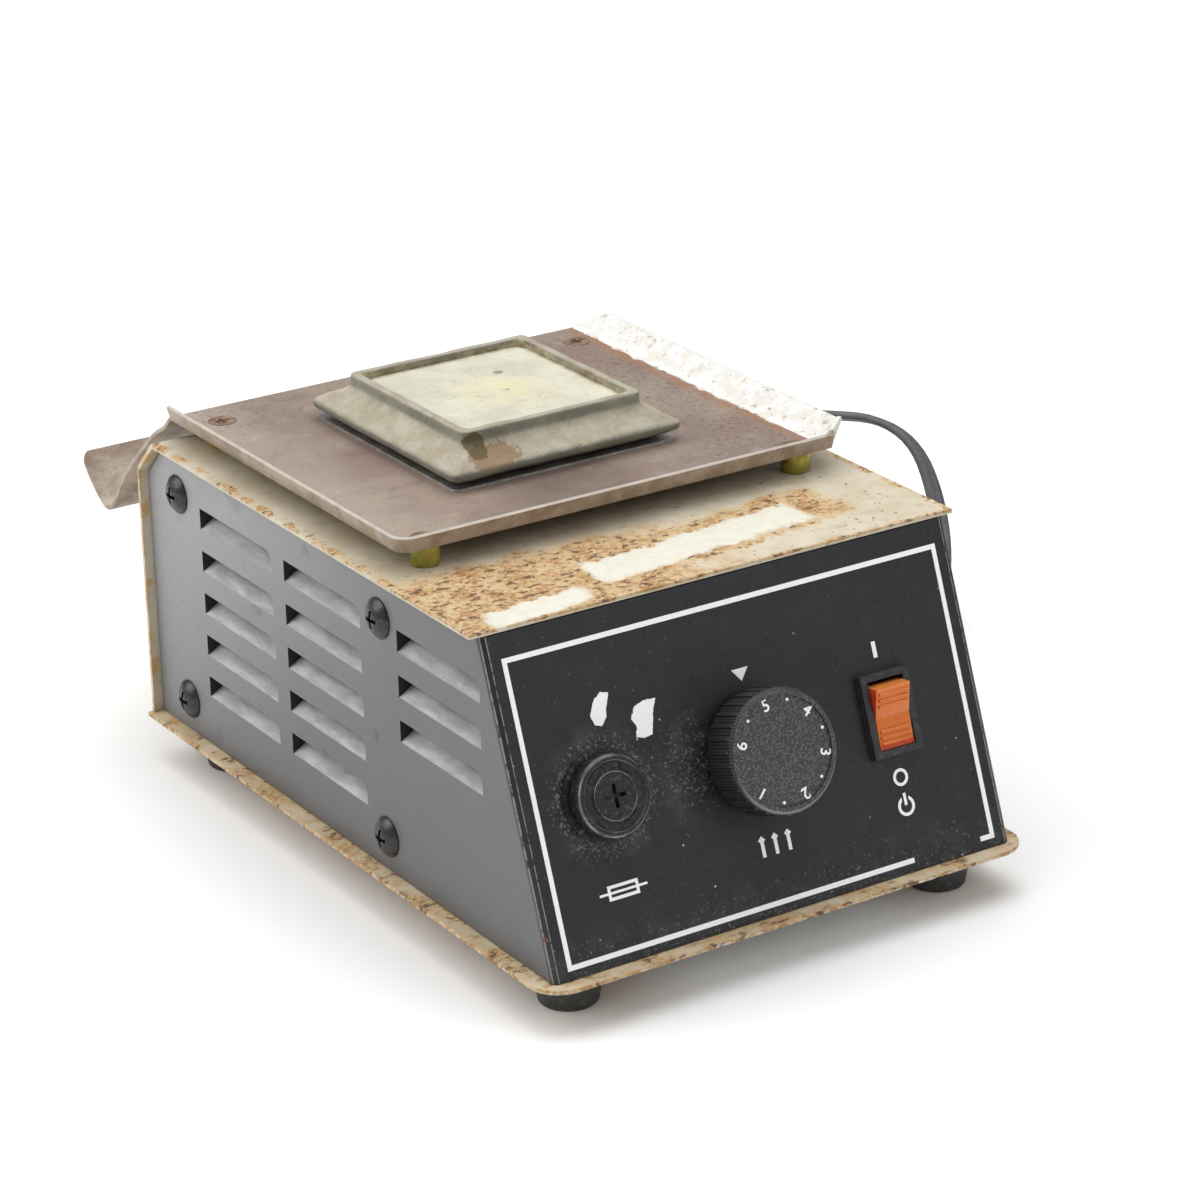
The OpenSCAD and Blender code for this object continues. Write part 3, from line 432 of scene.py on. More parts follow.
def cream_paint():
    k = Mat("cream_paint", IOR=1.45)
    x, y, z = k.xyz()
    side_x = k.absolute(x)
    paint = k.mix(k.step(k.noise(16), 0.35, 0.65), rgb(206, 196, 175), rgb(194, 181, 156))
    paint = k.mix(k.step(k.noise(4, 6), 0.5, 0.75, 0, 0.4), paint, rgb(172, 158, 128))
    on_top = k.step(z, TOP_Z - 1.5, TOP_Z - 0.3)
    ragged = k.drift(10, 12, 5, 0.66)
    fine = k.drift(5, 2.0, 5, 0.66)
    # two pale patches where tape once lay, with ragged soft borders
    slant = k.plus(k.plus(y, k.times(x, -0.10)), k.plus(ragged, fine))
    along = k.plus(x, ragged)
    long_patch = k.all_of(k.between(slant, -85.0, -72.0, 1.3), k.between(along, -28, 41, 1.6))
    short_patch = k.all_of(k.between(slant, -90.5, -82, 1.1), k.between(along, -64, -36, 1.6))
    pale = k.all_of(on_top, k.any_of(long_patch, short_patch))
    # how heavily each place is stained: most at the front left, little at the right
    front = k.step(y, -46, -64)
    left = k.step(x, 44, -20, 0.12, 1.0)
    ring = k.all_of(k.between(slant, -90, -64, 3.0), k.between(along, -46, 56, 8))
    rim_left = k.all_of(k.step(side_x, 69.0, 72.0), k.step(k.noise(5, 5, 0.65), 0.42, 0.56))
    lip = k.all_of(on_top, k.step(y, -93.5, -96.6))
    low_edge = k.step(z, BASE_Z + 2.0, BASE_Z + 0.8)
    back_edge = k.all_of(k.step(y, 76, 80.5), k.step(side_x, 71.5, 73.4))
    heavy = k.all_of(on_top, k.any_of(k.all_of(front, left, 0.58), k.times(ring, 0.56),
                                      k.times(lip, 0.52), k.times(rim_left, 0.58)))
    heavy = k.any_of(heavy, k.times(low_edge, 0.62), k.times(back_edge, 0.45))
    heavy = k.minus(heavy, k.times(pale, 0.5))
    cloud = k.noise(8, 6, 0.66)
    grit = k.noise(1.5, 4, 0.7)
    # yellow stain, brown mottling and dark pits, one inside the other
    level = k.plus(k.times(cloud, 0.7), heavy)
    stain = k.step(level, 0.62, 0.92)
    mottle = k.all_of(k.step(level, 0.74, 0.98),
                      k.step(k.plus(grit, k.times(cloud, 0.35)), 0.60, 0.76))
    clump = k.plus(k.noise(2.3, 4, 0.6, 0.2, at=k.stretch(0.75, 1.25, 1)),
                   k.times(k.minus(cloud, 0.5), 0.22))
    pits = k.all_of(k.step(level, 0.72, 0.90), k.step(clump, 0.56, 0.61))
    color = k.mix(k.times(stain, 0.7), paint, rgb(202, 168, 112))
    color = k.coat(color, mottle, 0.80, k.mix(k.noise(5, 3), rgb(140, 92, 54), rgb(184, 136, 82)))
    color = k.coat(color, pits, 0.86, rgb(92, 60, 46))
    specks = k.all_of(on_top, k.step(k.noise(1.9, 3, 0.5), 0.66, 0.70), k.step(y, -36, -56))
    color = k.coat(color, specks, 0.8, rgb(110, 70, 48))
    thin = k.step(k.noise(3, 4), 0.3, 0.6, 0.7, 0.95)
    color = k.coat(color, pale, thin, rgb(222, 219, 205))
    # worn white flecks on the bottom plate's edge
    bare = k.all_of(low_edge, k.step(z, BASE_Z + 0.9, BASE_Z + 0.4),
                    k.step(k.noise(2.5, 4), 0.54, 0.60))
    color = k.coat(color, bare, 0.7, rgb(226, 220, 210))
    # yellow stain down the rear left bend
    bend = k.all_of(k.step(x, -70, -72), k.step(y, 62, 78), k.step(k.noise(7, 4), 0.50, 0.60))
    color = k.coat(color, bend, 0.7, rgb(196, 146, 62))
    k.put("Base Color", color)
    k.put("Roughness", k.blend(mottle, 0.46, 0.85))
    k.bump(k.plus(k.times(mottle, 0.5),
                  k.plus(k.times(pits, -0.6), k.times(grit, 0.3))), 0.14)
    return k


def black_paint():
    k = Mat("black_paint", IOR=1.5)
    x, y, z = k.xyz()
    u, v = k.panel_uv()
    off = k.from_panel(PANEL_OUT)
    on_panel = k.step(off, -0.7, -0.2)
    fine = k.noise(0.9, 3)
    paint = k.mix(k.noise(30, 3), rgb(24, 25, 28), rgb(30, 31, 34))
    # the sides carry a painted reflection of the light, brighter towards the back and the top,
    # with a mealy film of dust in it
    sideways = k.step(k.absolute(k.facing(0)), 0.80, 0.97)
    height = k.plus(k.times(y, 0.7), z)
    side_sheen_and_dust = k.mix(k.step(height, 20, 145), rgb(96, 96, 97), rgb(150, 150, 151))
    mealy = k.step(k.noise(1.3, 4, 0.6), 0.35, 0.75, 0, 0.12)
    side_sheen_and_dust = k.mix(mealy, side_sheen_and_dust, rgb(60, 60, 61))
    color = k.mix(k.all_of(sideways, k.step(off, -0.6, -1.6)), paint, side_sheen_and_dust)
    # louvre faces gather dust in streaks
    louvre = k.all_of(k.step(k.facing(2), 0.15, 0.35), k.step(off, -1.5, -3.0), k.step(z, 92, 90))
    streak = k.noise(5, 4, 0.6, 0.3, at=k.stretch(1, 0.45, 2.6))
    dusty = k.mix(k.step(streak, 0.35, 0.68), rgb(176, 175, 174), rgb(206, 205, 203))
    scrape = k.step(k.noise(0.7, 3, 0.6, 0.2, at=k.stretch(1, 1.0, 0.25)), 0.60, 0.72, 0, 0.35)
    dusty = k.mix(scrape, dusty, rgb(232, 231, 229))
    color = k.coat(color, louvre, 0.95, dusty)
    # dust on the panel: round the fuse, left of the knob and in loose specks
    ring = k.step(k.away(u, v, FUSE_U, DIAL_V), 20.0, 11.0)
    smear = k.step(k.away(u, v, -20.0, 44.0), 19.0, 4.0)
    low = k.step(v, 16.0, 2.0)
    thick = k.any_of(k.times(ring, 0.34), k.times(smear, 0.24),
                     k.times(low, 0.18))
    specks = k.step(k.plus(k.noise(0.8, 4, 0.72), k.times(thick, 0.42)), 0.635, 0.74)
    film = k.all_of(k.step(k.noise(7, 5, 0.65), 0.42, 0.75), k.plus(thick, 0.03))
    dust = k.all_of(on_panel, k.any_of(k.times(specks, 0.55), k.times(film, 0.55)))
    color = k.mix(dust, color, rgb(148, 147, 142))
    spatter = k.all_of(on_panel, k.step(k.cells(6.0), 0.060, 0.035),
                       k.step(k.noise(24, 2), 0.44, 0.54))
    color = k.coat(color, spatter, 0.8, rgb(206, 206, 204))
    # painted highlights: fine light lines along the bends at both ends of the panel
    side_x = k.absolute(x)
    on_bend = k.step(off, -2.2, -1.4)
    broken = k.step(k.noise(2.4, 4, 0.7, 0, at=k.stretch(0.1, 1, 1)), 0.34, 0.50)
    bend_highlight = k.all_of(k.any_of(k.between(side_x, 68.9, 69.15, 0.08),
                               k.between(side_x, 70.2, 70.45, 0.08)), on_bend, broken)
    color = k.coat(color, bend_highlight, 0.8, rgb(150, 151, 152))
    # rubbed corners with a trace of rust low on the bend
    worn = k.all_of(k.step(side_x, 68.6, 69.6), on_bend,
                    k.step(k.noise(3.2, 5, 0.65), 0.60, 0.66), k.step(z, 60, 30))
    color = k.mix(worn, color, rgb(122, 70, 48))
    k.put("Base Color", color)
    drawn_out = k.stretch(1.0, 0.12, 0.12, (0.2, 0.5, 0.9))
    scratch = k.step(k.noise(1.6, 2, 0.5, 0, at=drawn_out), 0.66, 0.70)
    k.put("Roughness", k.plus(k.blend(k.noise(22, 4), 0.36, 0.46),
                              k.times(k.any_of(louvre, dust, scratch), 0.25)))
    k.bump(k.plus(k.times(fine, 0.5), k.times(scratch, -0.25)), 0.03)
    return k


def white_print():
    k = Mat("white_print")
    worn = k.step(k.noise(1.0, 5, 0.7), 0.66, 0.78)
    color = k.mix(k.noise(6, 4), rgb(255, 255, 255), rgb(248, 248, 247))
    k.put("Base Color", k.coat(color, worn, 0.45, rgb(120, 118, 114)))
    k.put("Roughness", k.blend(worn, 0.5, 0.75))
    k.bump(k.noise(0.8, 3), 0.03)
    return k


def rusty_steel():
    k = Mat("rusty_steel")
    x, y, z = k.xyz()
    big = k.noise(38, 5, 0.6)
    color = k.mix(k.step(big, 0.35, 0.65), rgb(134, 115, 104), rgb(152, 135, 121))
    blotch = k.noise(11, 6, 0.65)
    color = k.mix(k.step(blotch, 0.54, 0.74, 0, 0.5), color, rgb(176, 162, 147))
    color = k.mix(k.step(blotch, 0.46, 0.30, 0, 0.45), color, rgb(112, 92, 81))
    color = k.mix(k.step(x, -38, -66, 0, 0.35), color, rgb(196, 182, 168))
    # brown freckles, denser towards the right and rear
    grit = k.noise(1.7, 5, 0.68)
    reach = k.any_of(k.step(x, -10, 60, 0, 0.07), k.step(y, 20, 62, 0, 0.05))
    freckle = k.step(k.plus(grit, reach), 0.58, 0.70)
    color = k.coat(color, freckle, 0.5, rgb(84, 62, 52))
    pale = k.step(k.plus(k.noise(1.4, 4, 0.7), k.step(x, -10, 60, 0, 0.05)), 0.62, 0.74)
    color = k.coat(color, pale, 0.45, rgb(188, 176, 164))
    orange = k.step(k.plus(k.noise(4.5, 6, 0.7), k.step(y, 45, 64, 0, 0.06)), 0.66, 0.76)
    color = k.coat(color, orange, 0.5, rgb(146, 100, 68))
    # white flux crust along the right flange
    wander = k.drift(8, 7, 6, 0.68)
    inner = k.minus(x, wander)
    on_floor = k.step(y, TRAY_BACK_Y + 1, TRAY_BACK_Y - 1)
    crust = k.all_of(k.step(inner, 62.6, 63.6), on_floor)
    rim = k.all_of(k.between(inner, 59.8, 63.4, 1.0), on_floor,
                   k.step(k.noise(3, 5, 0.65), 0.36, 0.52))
    color = k.coat(color, rim, 0.8, rgb(150, 108, 78))
    white = k.mix(k.step(k.noise(3, 5, 0.6), 0.55, 0.70), rgb(216, 214, 208), rgb(168, 152, 136))
    color = k.mix(crust, color, white)
    # lips: tan faces with a thin painted highlight along the top edge
    lip = k.all_of(k.any_of(k.step(y, FRONT_LIP_Y + 0.2, FRONT_LIP_Y - 0.2),
                            k.step(x, LEFT_LIP_X, LEFT_LIP_X - 0.5)), on_floor)
    tan = k.mix(k.step(k.noise(8, 5, 0.6), 0.4, 0.62), rgb(168, 152, 134), rgb(140, 120, 98))
    tan = k.mix(k.step(k.noise(2.2, 5, 0.7), 0.60, 0.70, 0, 0.6), tan, rgb(112, 84, 60))
    color = k.mix(k.all_of(lip, 0.9), color, tan)
    bright = k.all_of(k.step(z, LIP_EDGE_Z, LIP_EDGE_Z + 0.2), k.invert(crust), on_floor)
    color = k.mix(bright, color, k.mix(k.noise(4, 4), rgb(196, 190, 182), rgb(164, 154, 142)))
    # painted shade: a dark band on the floor under the pot's front
    shade_under_pot = k.step(k.plus(k.away(x, y, -8, -33), k.times(blotch, 10)), 34, 8)
    color = k.coat(color, shade_under_pot, 0.35, rgb(66, 52, 48))
    trough = k.step(y, TRAY_BACK_Y - 1, TRAY_BACK_Y + 3)
    beige = k.mix(k.step(k.noise(9, 5, 0.6), 0.4, 0.66), rgb(176, 162, 146), rgb(140, 120, 104))
    beige = k.mix(k.step(k.noise(2, 5, 0.66), 0.60, 0.72, 0, 0.6), beige, rgb(116, 88, 68))
    color = k.coat(color, trough, 0.85, beige)
    k.put("Base Color", color)
    dull = k.any_of(crust, freckle, orange, lip, k.times(trough, 0.8))
    k.put("Metallic", k.blend(dull, 0.25, 0.0))
    k.put("Roughness", k.blend(k.any_of(crust, freckle, orange), 0.48, 0.85))
    relief = k.plus(k.times(grit, 0.6), k.times(freckle, 0.4))
    k.bump(k.plus(relief, k.times(k.all_of(crust, k.noise(2.5, 4)), 3.0)), 0.12)
    return k


def cast_pot():
    k = Mat("cast_pot")
    x, y, z = k.xyz()
    from_mid = k.absolute(k.minus(y, POT_Y))
    side_x = k.absolute(x)
    up = k.step(k.facing(2), 0.15, 0.6)
    grain = k.noise(1.2, 5, 0.68)
    sides = k.mix(k.step(k.noise(12, 5), 0.35, 0.65), rgb(142, 140, 125), rgb(122, 120, 106))
    sides = k.mix(k.step(grain, 0.5, 0.72, 0, 0.5), sides, rgb(164, 160, 144))
    # pale oxide where fumes settled: rim, slopes and inner walls
    oxide = k.mix(k.step(k.noise(9, 5, 0.6), 0.38, 0.66), rgb(178, 170, 152), rgb(158, 148, 126))
    oxide = k.mix(k.step(grain, 0.56, 0.70, 0, 0.5), oxide, rgb(196, 191, 176))
    oxide = k.mix(k.step(k.noise(2.0, 5, 0.68), 0.62, 0.70, 0, 0.65), oxide, rgb(128, 112, 86))
    ledge = k.all_of(up, k.step(z, POT_RIM_Z - 2.4, POT_RIM_Z - 3.2))
    rim = k.all_of(up, k.step(z, POT_RIM_Z - 1.4, POT_RIM_Z - 0.8))
    color = k.mix(k.times(k.any_of(ledge, k.times(rim, 0.8)), 0.95), sides, oxide)
    # the flange's outer edge is rubbed darker
    outer = k.any_of(k.step(side_x, POT_HALF_X - 1.6, POT_HALF_X),
                     k.step(from_mid, POT_HALF_Y - 1.6, POT_HALF_Y))
    rubbed = k.all_of(outer, k.step(k.noise(5, 4), 0.25, 0.6))
    color = k.coat(color, rubbed, 0.6, rgb(118, 117, 104))
    inside = k.all_of(k.step(side_x, BATH_HALF_X, BATH_HALF_X - 0.3),
                      k.step(from_mid, BATH_HALF_Y, BATH_HALF_Y - 0.3),
                      k.step(z, POT_RIM_Z - 0.1, POT_RIM_Z - 0.6))
    wall = k.mix(k.step(k.noise(3, 5, 0.68), 0.4, 0.62), rgb(178, 164, 130), rgb(126, 110, 80))
    color = k.coat(color, inside, 0.95, wall)
    # brown drip that ran over the front edge at its left end
    ragged = k.drift(15, 5, 6, 0.68)
    run = k.plus(k.away(x, k.times(y, 1.6), -21.5, -41), ragged)
    drip = k.all_of(k.step(run, 7.4, 6.9), k.step(z, 107.4, 108.6))
    color = k.coat(color, drip, 0.85, k.mix(k.noise(3, 4), rgb(124, 96, 62), rgb(148, 122, 88)))
    spot = k.all_of(k.step(k.plus(k.away(x, z, -25.0, 113.2), k.times(ragged, 0.35)), 3.4, 2.8),
                    k.step(y, -18, -19.4))
    color = k.coat(color, spot, 0.85, rgb(84, 74, 34))
    specks = k.step(k.noise(1.5, 3, 0.6), 0.68, 0.73)
    color = k.coat(color, specks, 0.6, rgb(92, 76, 58))
    # darker towards the underside
    color = k.mix(k.step(z, 107.0, 104.4, 0, 0.55), color, rgb(70, 70, 62))
    k.put("Base Color", color)
    k.put("Roughness", k.blend(ledge, 0.48, 0.72))
    k.put("Metallic", k.blend(k.any_of(ledge, rim, drip, inside), 0.2, 0.0))
    k.bump(k.plus(k.times(k.noise(1.3, 5, 0.66), 0.7),
                  k.times(k.noise(5, 4), 0.8)), 0.30)
    return k


def solder_metal():
    k = Mat("solder_metal")
    x, y, z = k.xyz()
    color = k.mix(k.step(k.noise(14, 5), 0.35, 0.65), rgb(212, 209, 190), rgb(198, 195, 177))
    middle = k.step(k.away(x, y, 2, 8), 20, 3)
    yellowed = k.all_of(middle, k.step(k.noise(8, 5, 0.6), 0.3, 0.62))
    color = k.mix(yellowed, color, rgb(219, 210, 174))
    color = k.mix(k.step(k.noise(2.4, 5, 0.65), 0.58, 0.70, 0, 0.45), color, rgb(158, 154, 136))
    flecks = k.all_of(k.step(k.noise(3.2, 3, 0.55), 0.66, 0.70),
                      k.step(k.away(x, y, 6, 14), 18, 8))
    color = k.coat(color, flecks, 0.7, rgb(150, 140, 84))
    spot = k.step(k.plus(k.away(x, y, 8.5, 21.5), k.times(k.noise(2, 3), 1.6)), 2.6, 1.9)
    color = k.coat(color, spot, 0.75, rgb(112, 110, 98))
    rim = k.any_of(k.step(k.absolute(x), BATH_HALF_X - 2.9, BATH_HALF_X - 0.7),
                   k.step(k.absolute(k.minus(y, POT_Y)), BATH_HALF_Y - 2.9, BATH_HALF_Y - 0.7))
    color = k.mix(k.all_of(rim, k.step(k.noise(3, 4), 0.4, 0.6), 0.55), color, rgb(166, 152, 112))
    k.put("Base Color", color)
    k.put("Metallic", 0.25)
    k.put("Roughness", k.blend(k.noise(5, 4), 0.42, 0.62))
    k.bump(k.plus(k.times(k.noise(3, 6, 0.6), 0.7),
                  k.times(k.noise(11, 3), 0.6)), 0.18)
    return k


def knob_plastic():
    k = Mat("knob_plastic", IOR=1.5)
    u, v = k.panel_uv()
    face = k.step(k.facing(1), -0.70, -0.88)
    grain = k.cells(0.6)
    sides = k.mix(k.noise(8, 4), rgb(20, 20, 21), rgb(28, 28, 29))
    front = k.mix(k.noise(8, 4), rgb(48, 48, 50), rgb(60, 60, 62))
    dusty = k.step(k.plus(grain, k.times(k.noise(1.2, 5, 0.7), 0.8)), 0.94, 0.66)
    front = k.mix(k.times(dusty, 0.36), front, rgb(138, 137, 134))
    color = k.mix(face, sides, front)
    # a painted highlight round the rim of the face, and fine dusty ribs on the side
    radius = k.away(u, v, 0.0, DIAL_V)
    rim = k.all_of(k.between(radius, 15.15, 15.75, 0.08), face)
    color = k.coat(color, rim, 0.6, rgb(148, 148, 146))
    turn = k.calc("ARCTAN2", k.minus(v, DIAL_V), u)
    rib = k.all_of(k.step(k.sine(k.times(turn, 120.0)), -0.2, 0.9), k.invert(face))
    color = k.coat(color, rib, 0.16, rgb(120, 120, 118))
    k.put("Base Color", color)
    k.put("Roughness", k.blend(k.noise(5, 4), 0.40, 0.56))
    k.bump(k.plus(k.plus(k.times(grain, face), k.times(rib, 0.8)),
                  k.times(k.noise(0.5, 2), 0.3)), 0.16)
    return k


def fuse_plastic():
    k = Mat("fuse_plastic", IOR=1.52)
    dust = k.step(k.noise(1.4, 5, 0.7), 0.52, 0.72)
    color = k.mix(k.noise(6, 4), rgb(30, 30, 30), rgb(42, 41, 40))
    color = k.coat(color, dust, 0.38, rgb(120, 114, 98))
    # painted highlights: the turned edges drawn as thin pale lines
    u, v = k.panel_uv()
    radius = k.away(u, v, FUSE_U, DIAL_V)
    line = k.any_of(k.between(radius, 9.95, 10.25, 0.05), k.between(radius, 6.0, 6.2, 0.05),
                    k.between(radius, 8.8, 8.95, 0.05))
    line = k.all_of(line, k.step(k.facing(1), -0.35, -0.6), k.step(k.noise(5, 4), 0.3, 0.6))
    k.put("Base Color", k.coat(color, line, 0.8, rgb(164, 163, 156)))
    k.put("Roughness", k.blend(dust, 0.26, 0.6))
    k.bump(k.noise(0.9, 4), 0.03)
    return k


def amber_plastic():
    k = Mat("amber_plastic", IOR=1.49)
    u, v = k.panel_uv()
    row_pitch, rib_pitch = 1.1, 0.9
    cloud = k.noise(4, 4)
    color = k.mix(cloud, rgb(250, 122, 40), rgb(255, 150, 66))
    # lighter at the raised end; moulded ribs, cut into prisms lower down; red edges
    color = k.mix(k.step(v, 48.5, 52.0, 0, 0.5), color, rgb(252, 170, 104))
    rows = k.sine(k.times(v, 2 * math.pi / row_pitch))
    columns = k.sine(k.times(u, 2 * math.pi / rib_pitch))
    ribs = k.times(k.step(columns, 0.1, 0.8), k.step(v, 50.0, 48.0, 0, 0.4))
    prism = k.any_of(ribs, k.all_of(k.step(rows, 0.2, 0.9), k.step(columns, -0.2, 0.6),
                                             k.step(v, 43.0, 41.0)))
    color = k.coat(color, prism, 0.34, rgb(186, 78, 20))
    flank = k.step(k.absolute(k.facing(0)), 0.3, 0.9, 0, 0.7)
    color = k.mix(k.any_of(flank, k.step(v, 36.2, 35.2, 0, 0.7)), color, rgb(214, 44, 22))
    k.put("Base Color", color)
    k.put("Transmission Weight", 0.25)
    k.put("Subsurface Weight", 0.45)
    k.put("Subsurface Radius", (1.0, 0.35, 0.12))
    k.put("Subsurface Scale", 0.003)
    k.put("Roughness", k.blend(k.noise(2, 4), 0.16, 0.30))
    k.bump(k.plus(prism, k.times(k.noise(1, 3), 0.4)), 0.05)
    return k


def plain(name, light, dark, rough, metal, size, grime=None, grain=0.05, sockets=None):
    """A base finish: two tones in soft clouds, specks of grime, fine relief."""
    k = Mat(name, **(sockets or {}))
    color = k.mix(k.step(k.noise(size, 5, 0.6), 0.32, 0.68), rgb(*light), rgb(*dark))
    if grime:
        dirt = k.step(k.noise(size / 3, 5, 0.68), 0.54, 0.70)
        color = k.coat(color, dirt, 0.6, rgb(*grime))
    k.put("Base Color", color)
    k.put("Metallic", metal)
    k.put("Roughness", k.blend(k.noise(size / 2, 4), *rough))
    k.bump(k.noise(size / 5, 4, 0.6), grain)
    return k


def foot_rubber():
    k = Mat("foot_rubber", IOR=1.5)
    x, y, z = k.xyz()
    color = k.mix(k.noise(7, 4), rgb(44, 44, 44), rgb(60, 60, 58))
    dust = k.all_of(k.step(z, 9, 1, 0.25, 1.0), k.step(k.noise(2.2, 5, 0.7), 0.45, 0.72))
    k.put("Base Color", k.coat(color, dust, 0.35, rgb(132, 128, 120)))
    k.put("Roughness", k.blend(dust, 0.58, 0.85))
    k.bump(k.noise(1.0, 4, 0.6), 0.06)
    return k


CHOKE_AT = (2.0, -35.0)
CHOKE_TURNS = 44.0


def wound_copper():
    k = Mat("copper_coil")
    x, y, z = k.xyz()
    turned = k.calc("ARCTAN2", k.minus(y, CHOKE_AT[1]), k.minus(x, CHOKE_AT[0]))
    wind = k.sine(k.times(turned, CHOKE_TURNS))
    k.put("Base Color", k.mix(k.step(wind, -0.6, 0.4), rgb(96, 48, 24), rgb(196, 118, 66)))
    k.put("Metallic", 0.7)
    k.put("Roughness", k.blend(k.noise(3, 3), 0.25, 0.4))
    k.bump(k.step(wind, -0.9, 0.9), 0.25)
    return k


def floor_paper():
    k = Mat("floor_paper")
    k.put("Base Color", k.mix(k.noise(260, 3), rgb(247, 247, 246), rgb(251, 251, 250)))
    k.put("Roughness", k.blend(k.noise(60, 3), 0.75, 0.9))
    k.bump(k.noise(3, 3), 0.02)
    return k


# light tone, dark tone, roughness, metallic, cloud size, grime, grain, further sockets
PLAIN = {
    "zinc_rails": ((176, 178, 182), (150, 152, 156), (0.3, 0.5), 0.85, 9),
    "black_screws": ((42, 42, 44), (28, 28, 30), (0.24, 0.40), 0.3, 3, (110, 104, 96), 0.03,
                     {"IOR": 1.6}),
    "zinc_hardware": ((196, 196, 198), (160, 160, 164), (0.25, 0.4), 0.9, 4),
    "label_foil": ((236, 236, 234), (214, 214, 210), (0.35, 0.5), 0.0, 12, (180, 172, 160)),
    "yellow_zinc": ((190, 172, 84), (136, 138, 66), (0.28, 0.5), 0.6, 3, (110, 84, 44)),
    "rusty_screws": ((150, 126, 104), (104, 76, 56), (0.5, 0.75), 0.3, 2.5, (92, 52, 32), 0.12),
    "bright_steel": ((214, 214, 212), (176, 172, 166), (0.22, 0.42), 0.85, 5, (128, 108, 90)),
    "mica": ((214, 206, 184), (186, 176, 150), (0.35, 0.6), 0.0, 6, (160, 140, 110)),
    "insulation_board": ((224, 220, 208), (204, 198, 182), (0.8, 0.95), 0.0, 4,
                         (176, 166, 148), 0.2),
    "dial_metal": ((150, 152, 156), (112, 114, 118), (0.3, 0.45), 0.8, 4),
    "contact_metal": ((206, 190, 140), (178, 158, 108), (0.25, 0.4), 0.9, 3),
    "fuse_tube": ((232, 238, 238), (214, 222, 222), (0.03, 0.08), 0.0, 4, None, 0.01,
                  {"Transmission_Weight": 0.9}),
    "fuse_ferrule": ((204, 204, 206), (176, 176, 180), (0.2, 0.35), 0.95, 3),
    "switch_plastic": ((40, 40, 42), (52, 52, 54), (0.32, 0.48), 0.0, 4, (96, 92, 84), 0.03,
                       {"IOR": 1.5}),
    "lamp_glass": ((250, 214, 168), (238, 188, 130), (0.1, 0.2), 0.0, 3, None, 0.01,
                   {"Transmission_Weight": 0.5}),
    "board_laminate": ((116, 132, 66), (88, 108, 52), (0.35, 0.5), 0.0, 5, (70, 84, 44)),
    "white_nylon": ((228, 226, 216), (210, 206, 192), (0.4, 0.55), 0.0, 5),
    "sink_aluminium": ((190, 192, 196), (164, 166, 170), (0.3, 0.5), 0.9, 4),
    "component_black": ((38, 38, 40), (50, 50, 52), (0.35, 0.5), 0.0, 3),
    "component_blue": ((58, 82, 148), (44, 64, 124), (0.3, 0.45), 0.0, 4),
    "sleeve_fibre": ((232, 228, 214), (206, 198, 176), (0.7, 0.9), 0.0, 2, (170, 156, 130), 0.15),
    "wire_brown": ((122, 70, 42), (98, 54, 34), (0.35, 0.5), 0.0, 4),
    "wire_yellow": ((206, 182, 70), (180, 156, 56), (0.35, 0.5), 0.0, 4),
    "cord_pvc": ((86, 87, 90), (72, 73, 76), (0.36, 0.52), 0.0, 9, (120, 118, 114), 0.05),
    "plug_pvc": ((52, 52, 54), (40, 40, 42), (0.36, 0.5), 0.0, 6, (96, 92, 86), 0.05),
}

FINISHES = [cream_paint(), black_paint(), white_print(), rusty_steel(), cast_pot(),
            solder_metal(), knob_plastic(), fuse_plastic(), amber_plastic(), foot_rubber(),
            wound_copper()] + [plain(name, *looks) for name, looks in PLAIN.items()]
MATERIALS = {k.name: k.material for k in FINISHES}


# ---- the CAD pieces: finishes, softened edges and slightly uneven castings ----
# width of the rounded edge in millimetres, for the pieces that show
EDGES = {
    "chassis": 0.35, "shell": 0.18, "tray": 0.22, "pot_seat": 0.15, "feet": 0.6,
    "knob": 0.25, "fuse_cap": 0.22, "fuse_holder": 0.3, "switch_body": 0.35, "rocker": 0.3,
    "side_screws": 0.18, "tray_spacers": 0.3, "tray_screws": 0.12, "plug": 1.0,
    "plug_blades": 0.3, "cord_bushing": 0.35, "dial_nut": 0.25, "foot_screws": 0.15,
    "rail_top_left": 0.2, "rail_top_right": 0.2, "rail_bottom_left": 0.2,
    "rail_bottom_right": 0.2, "knob_screw": 0.1,
}


def dress(name, obj):
    slot_name = obj.material_slots[0].material.name.split(".")[0]
    obj.material_slots[0].material = MATERIALS[slot_name]
    if name not in EDGES:
        return
    weld = obj.modifiers.new("weld", "WELD")
    weld.merge_threshold = WELD
    bevel = obj.modifiers.new("edges", "BEVEL")
    bevel.width = EDGES[name] * MM
    bevel.segments = 2
    bevel.limit_method = "ANGLE"
    bevel.angle_limit = math.radians(38)
    bevel.harden_normals = True
    bevel.use_clamp_overlap = True


for node_name, node_obj in NODES.items():
    dress(node_name, node_obj)

make_cord(MATERIALS["cord_pvc"])


def cast_skin():
    """The pot's casting: rounded all over and a little uneven."""
    obj = NODES["pot"]
    cloud = bpy.data.textures.new("cast_cloud", "CLOUDS")
    cloud.noise_scale = 0.016
    cloud.noise_depth = 2
    for kind, name, values in (
        ("WELD", "weld", {"merge_threshold": WELD}),
        ("REMESH", "skin", {"mode": "VOXEL", "voxel_size": 0.0008, "use_smooth_shade": True}),
        ("SMOOTH", "soften", {"factor": 0.5, "iterations": 7}),
        ("DISPLACE", "uneven", {"texture": cloud, "strength": 0.0007, "mid_level": 1.0,
                                "texture_coords": "LOCAL"}),
    ):
        modifier = obj.modifiers.new(name, kind)
        for key, value in values.items():
            setattr(modifier, key, value)


cast_skin()


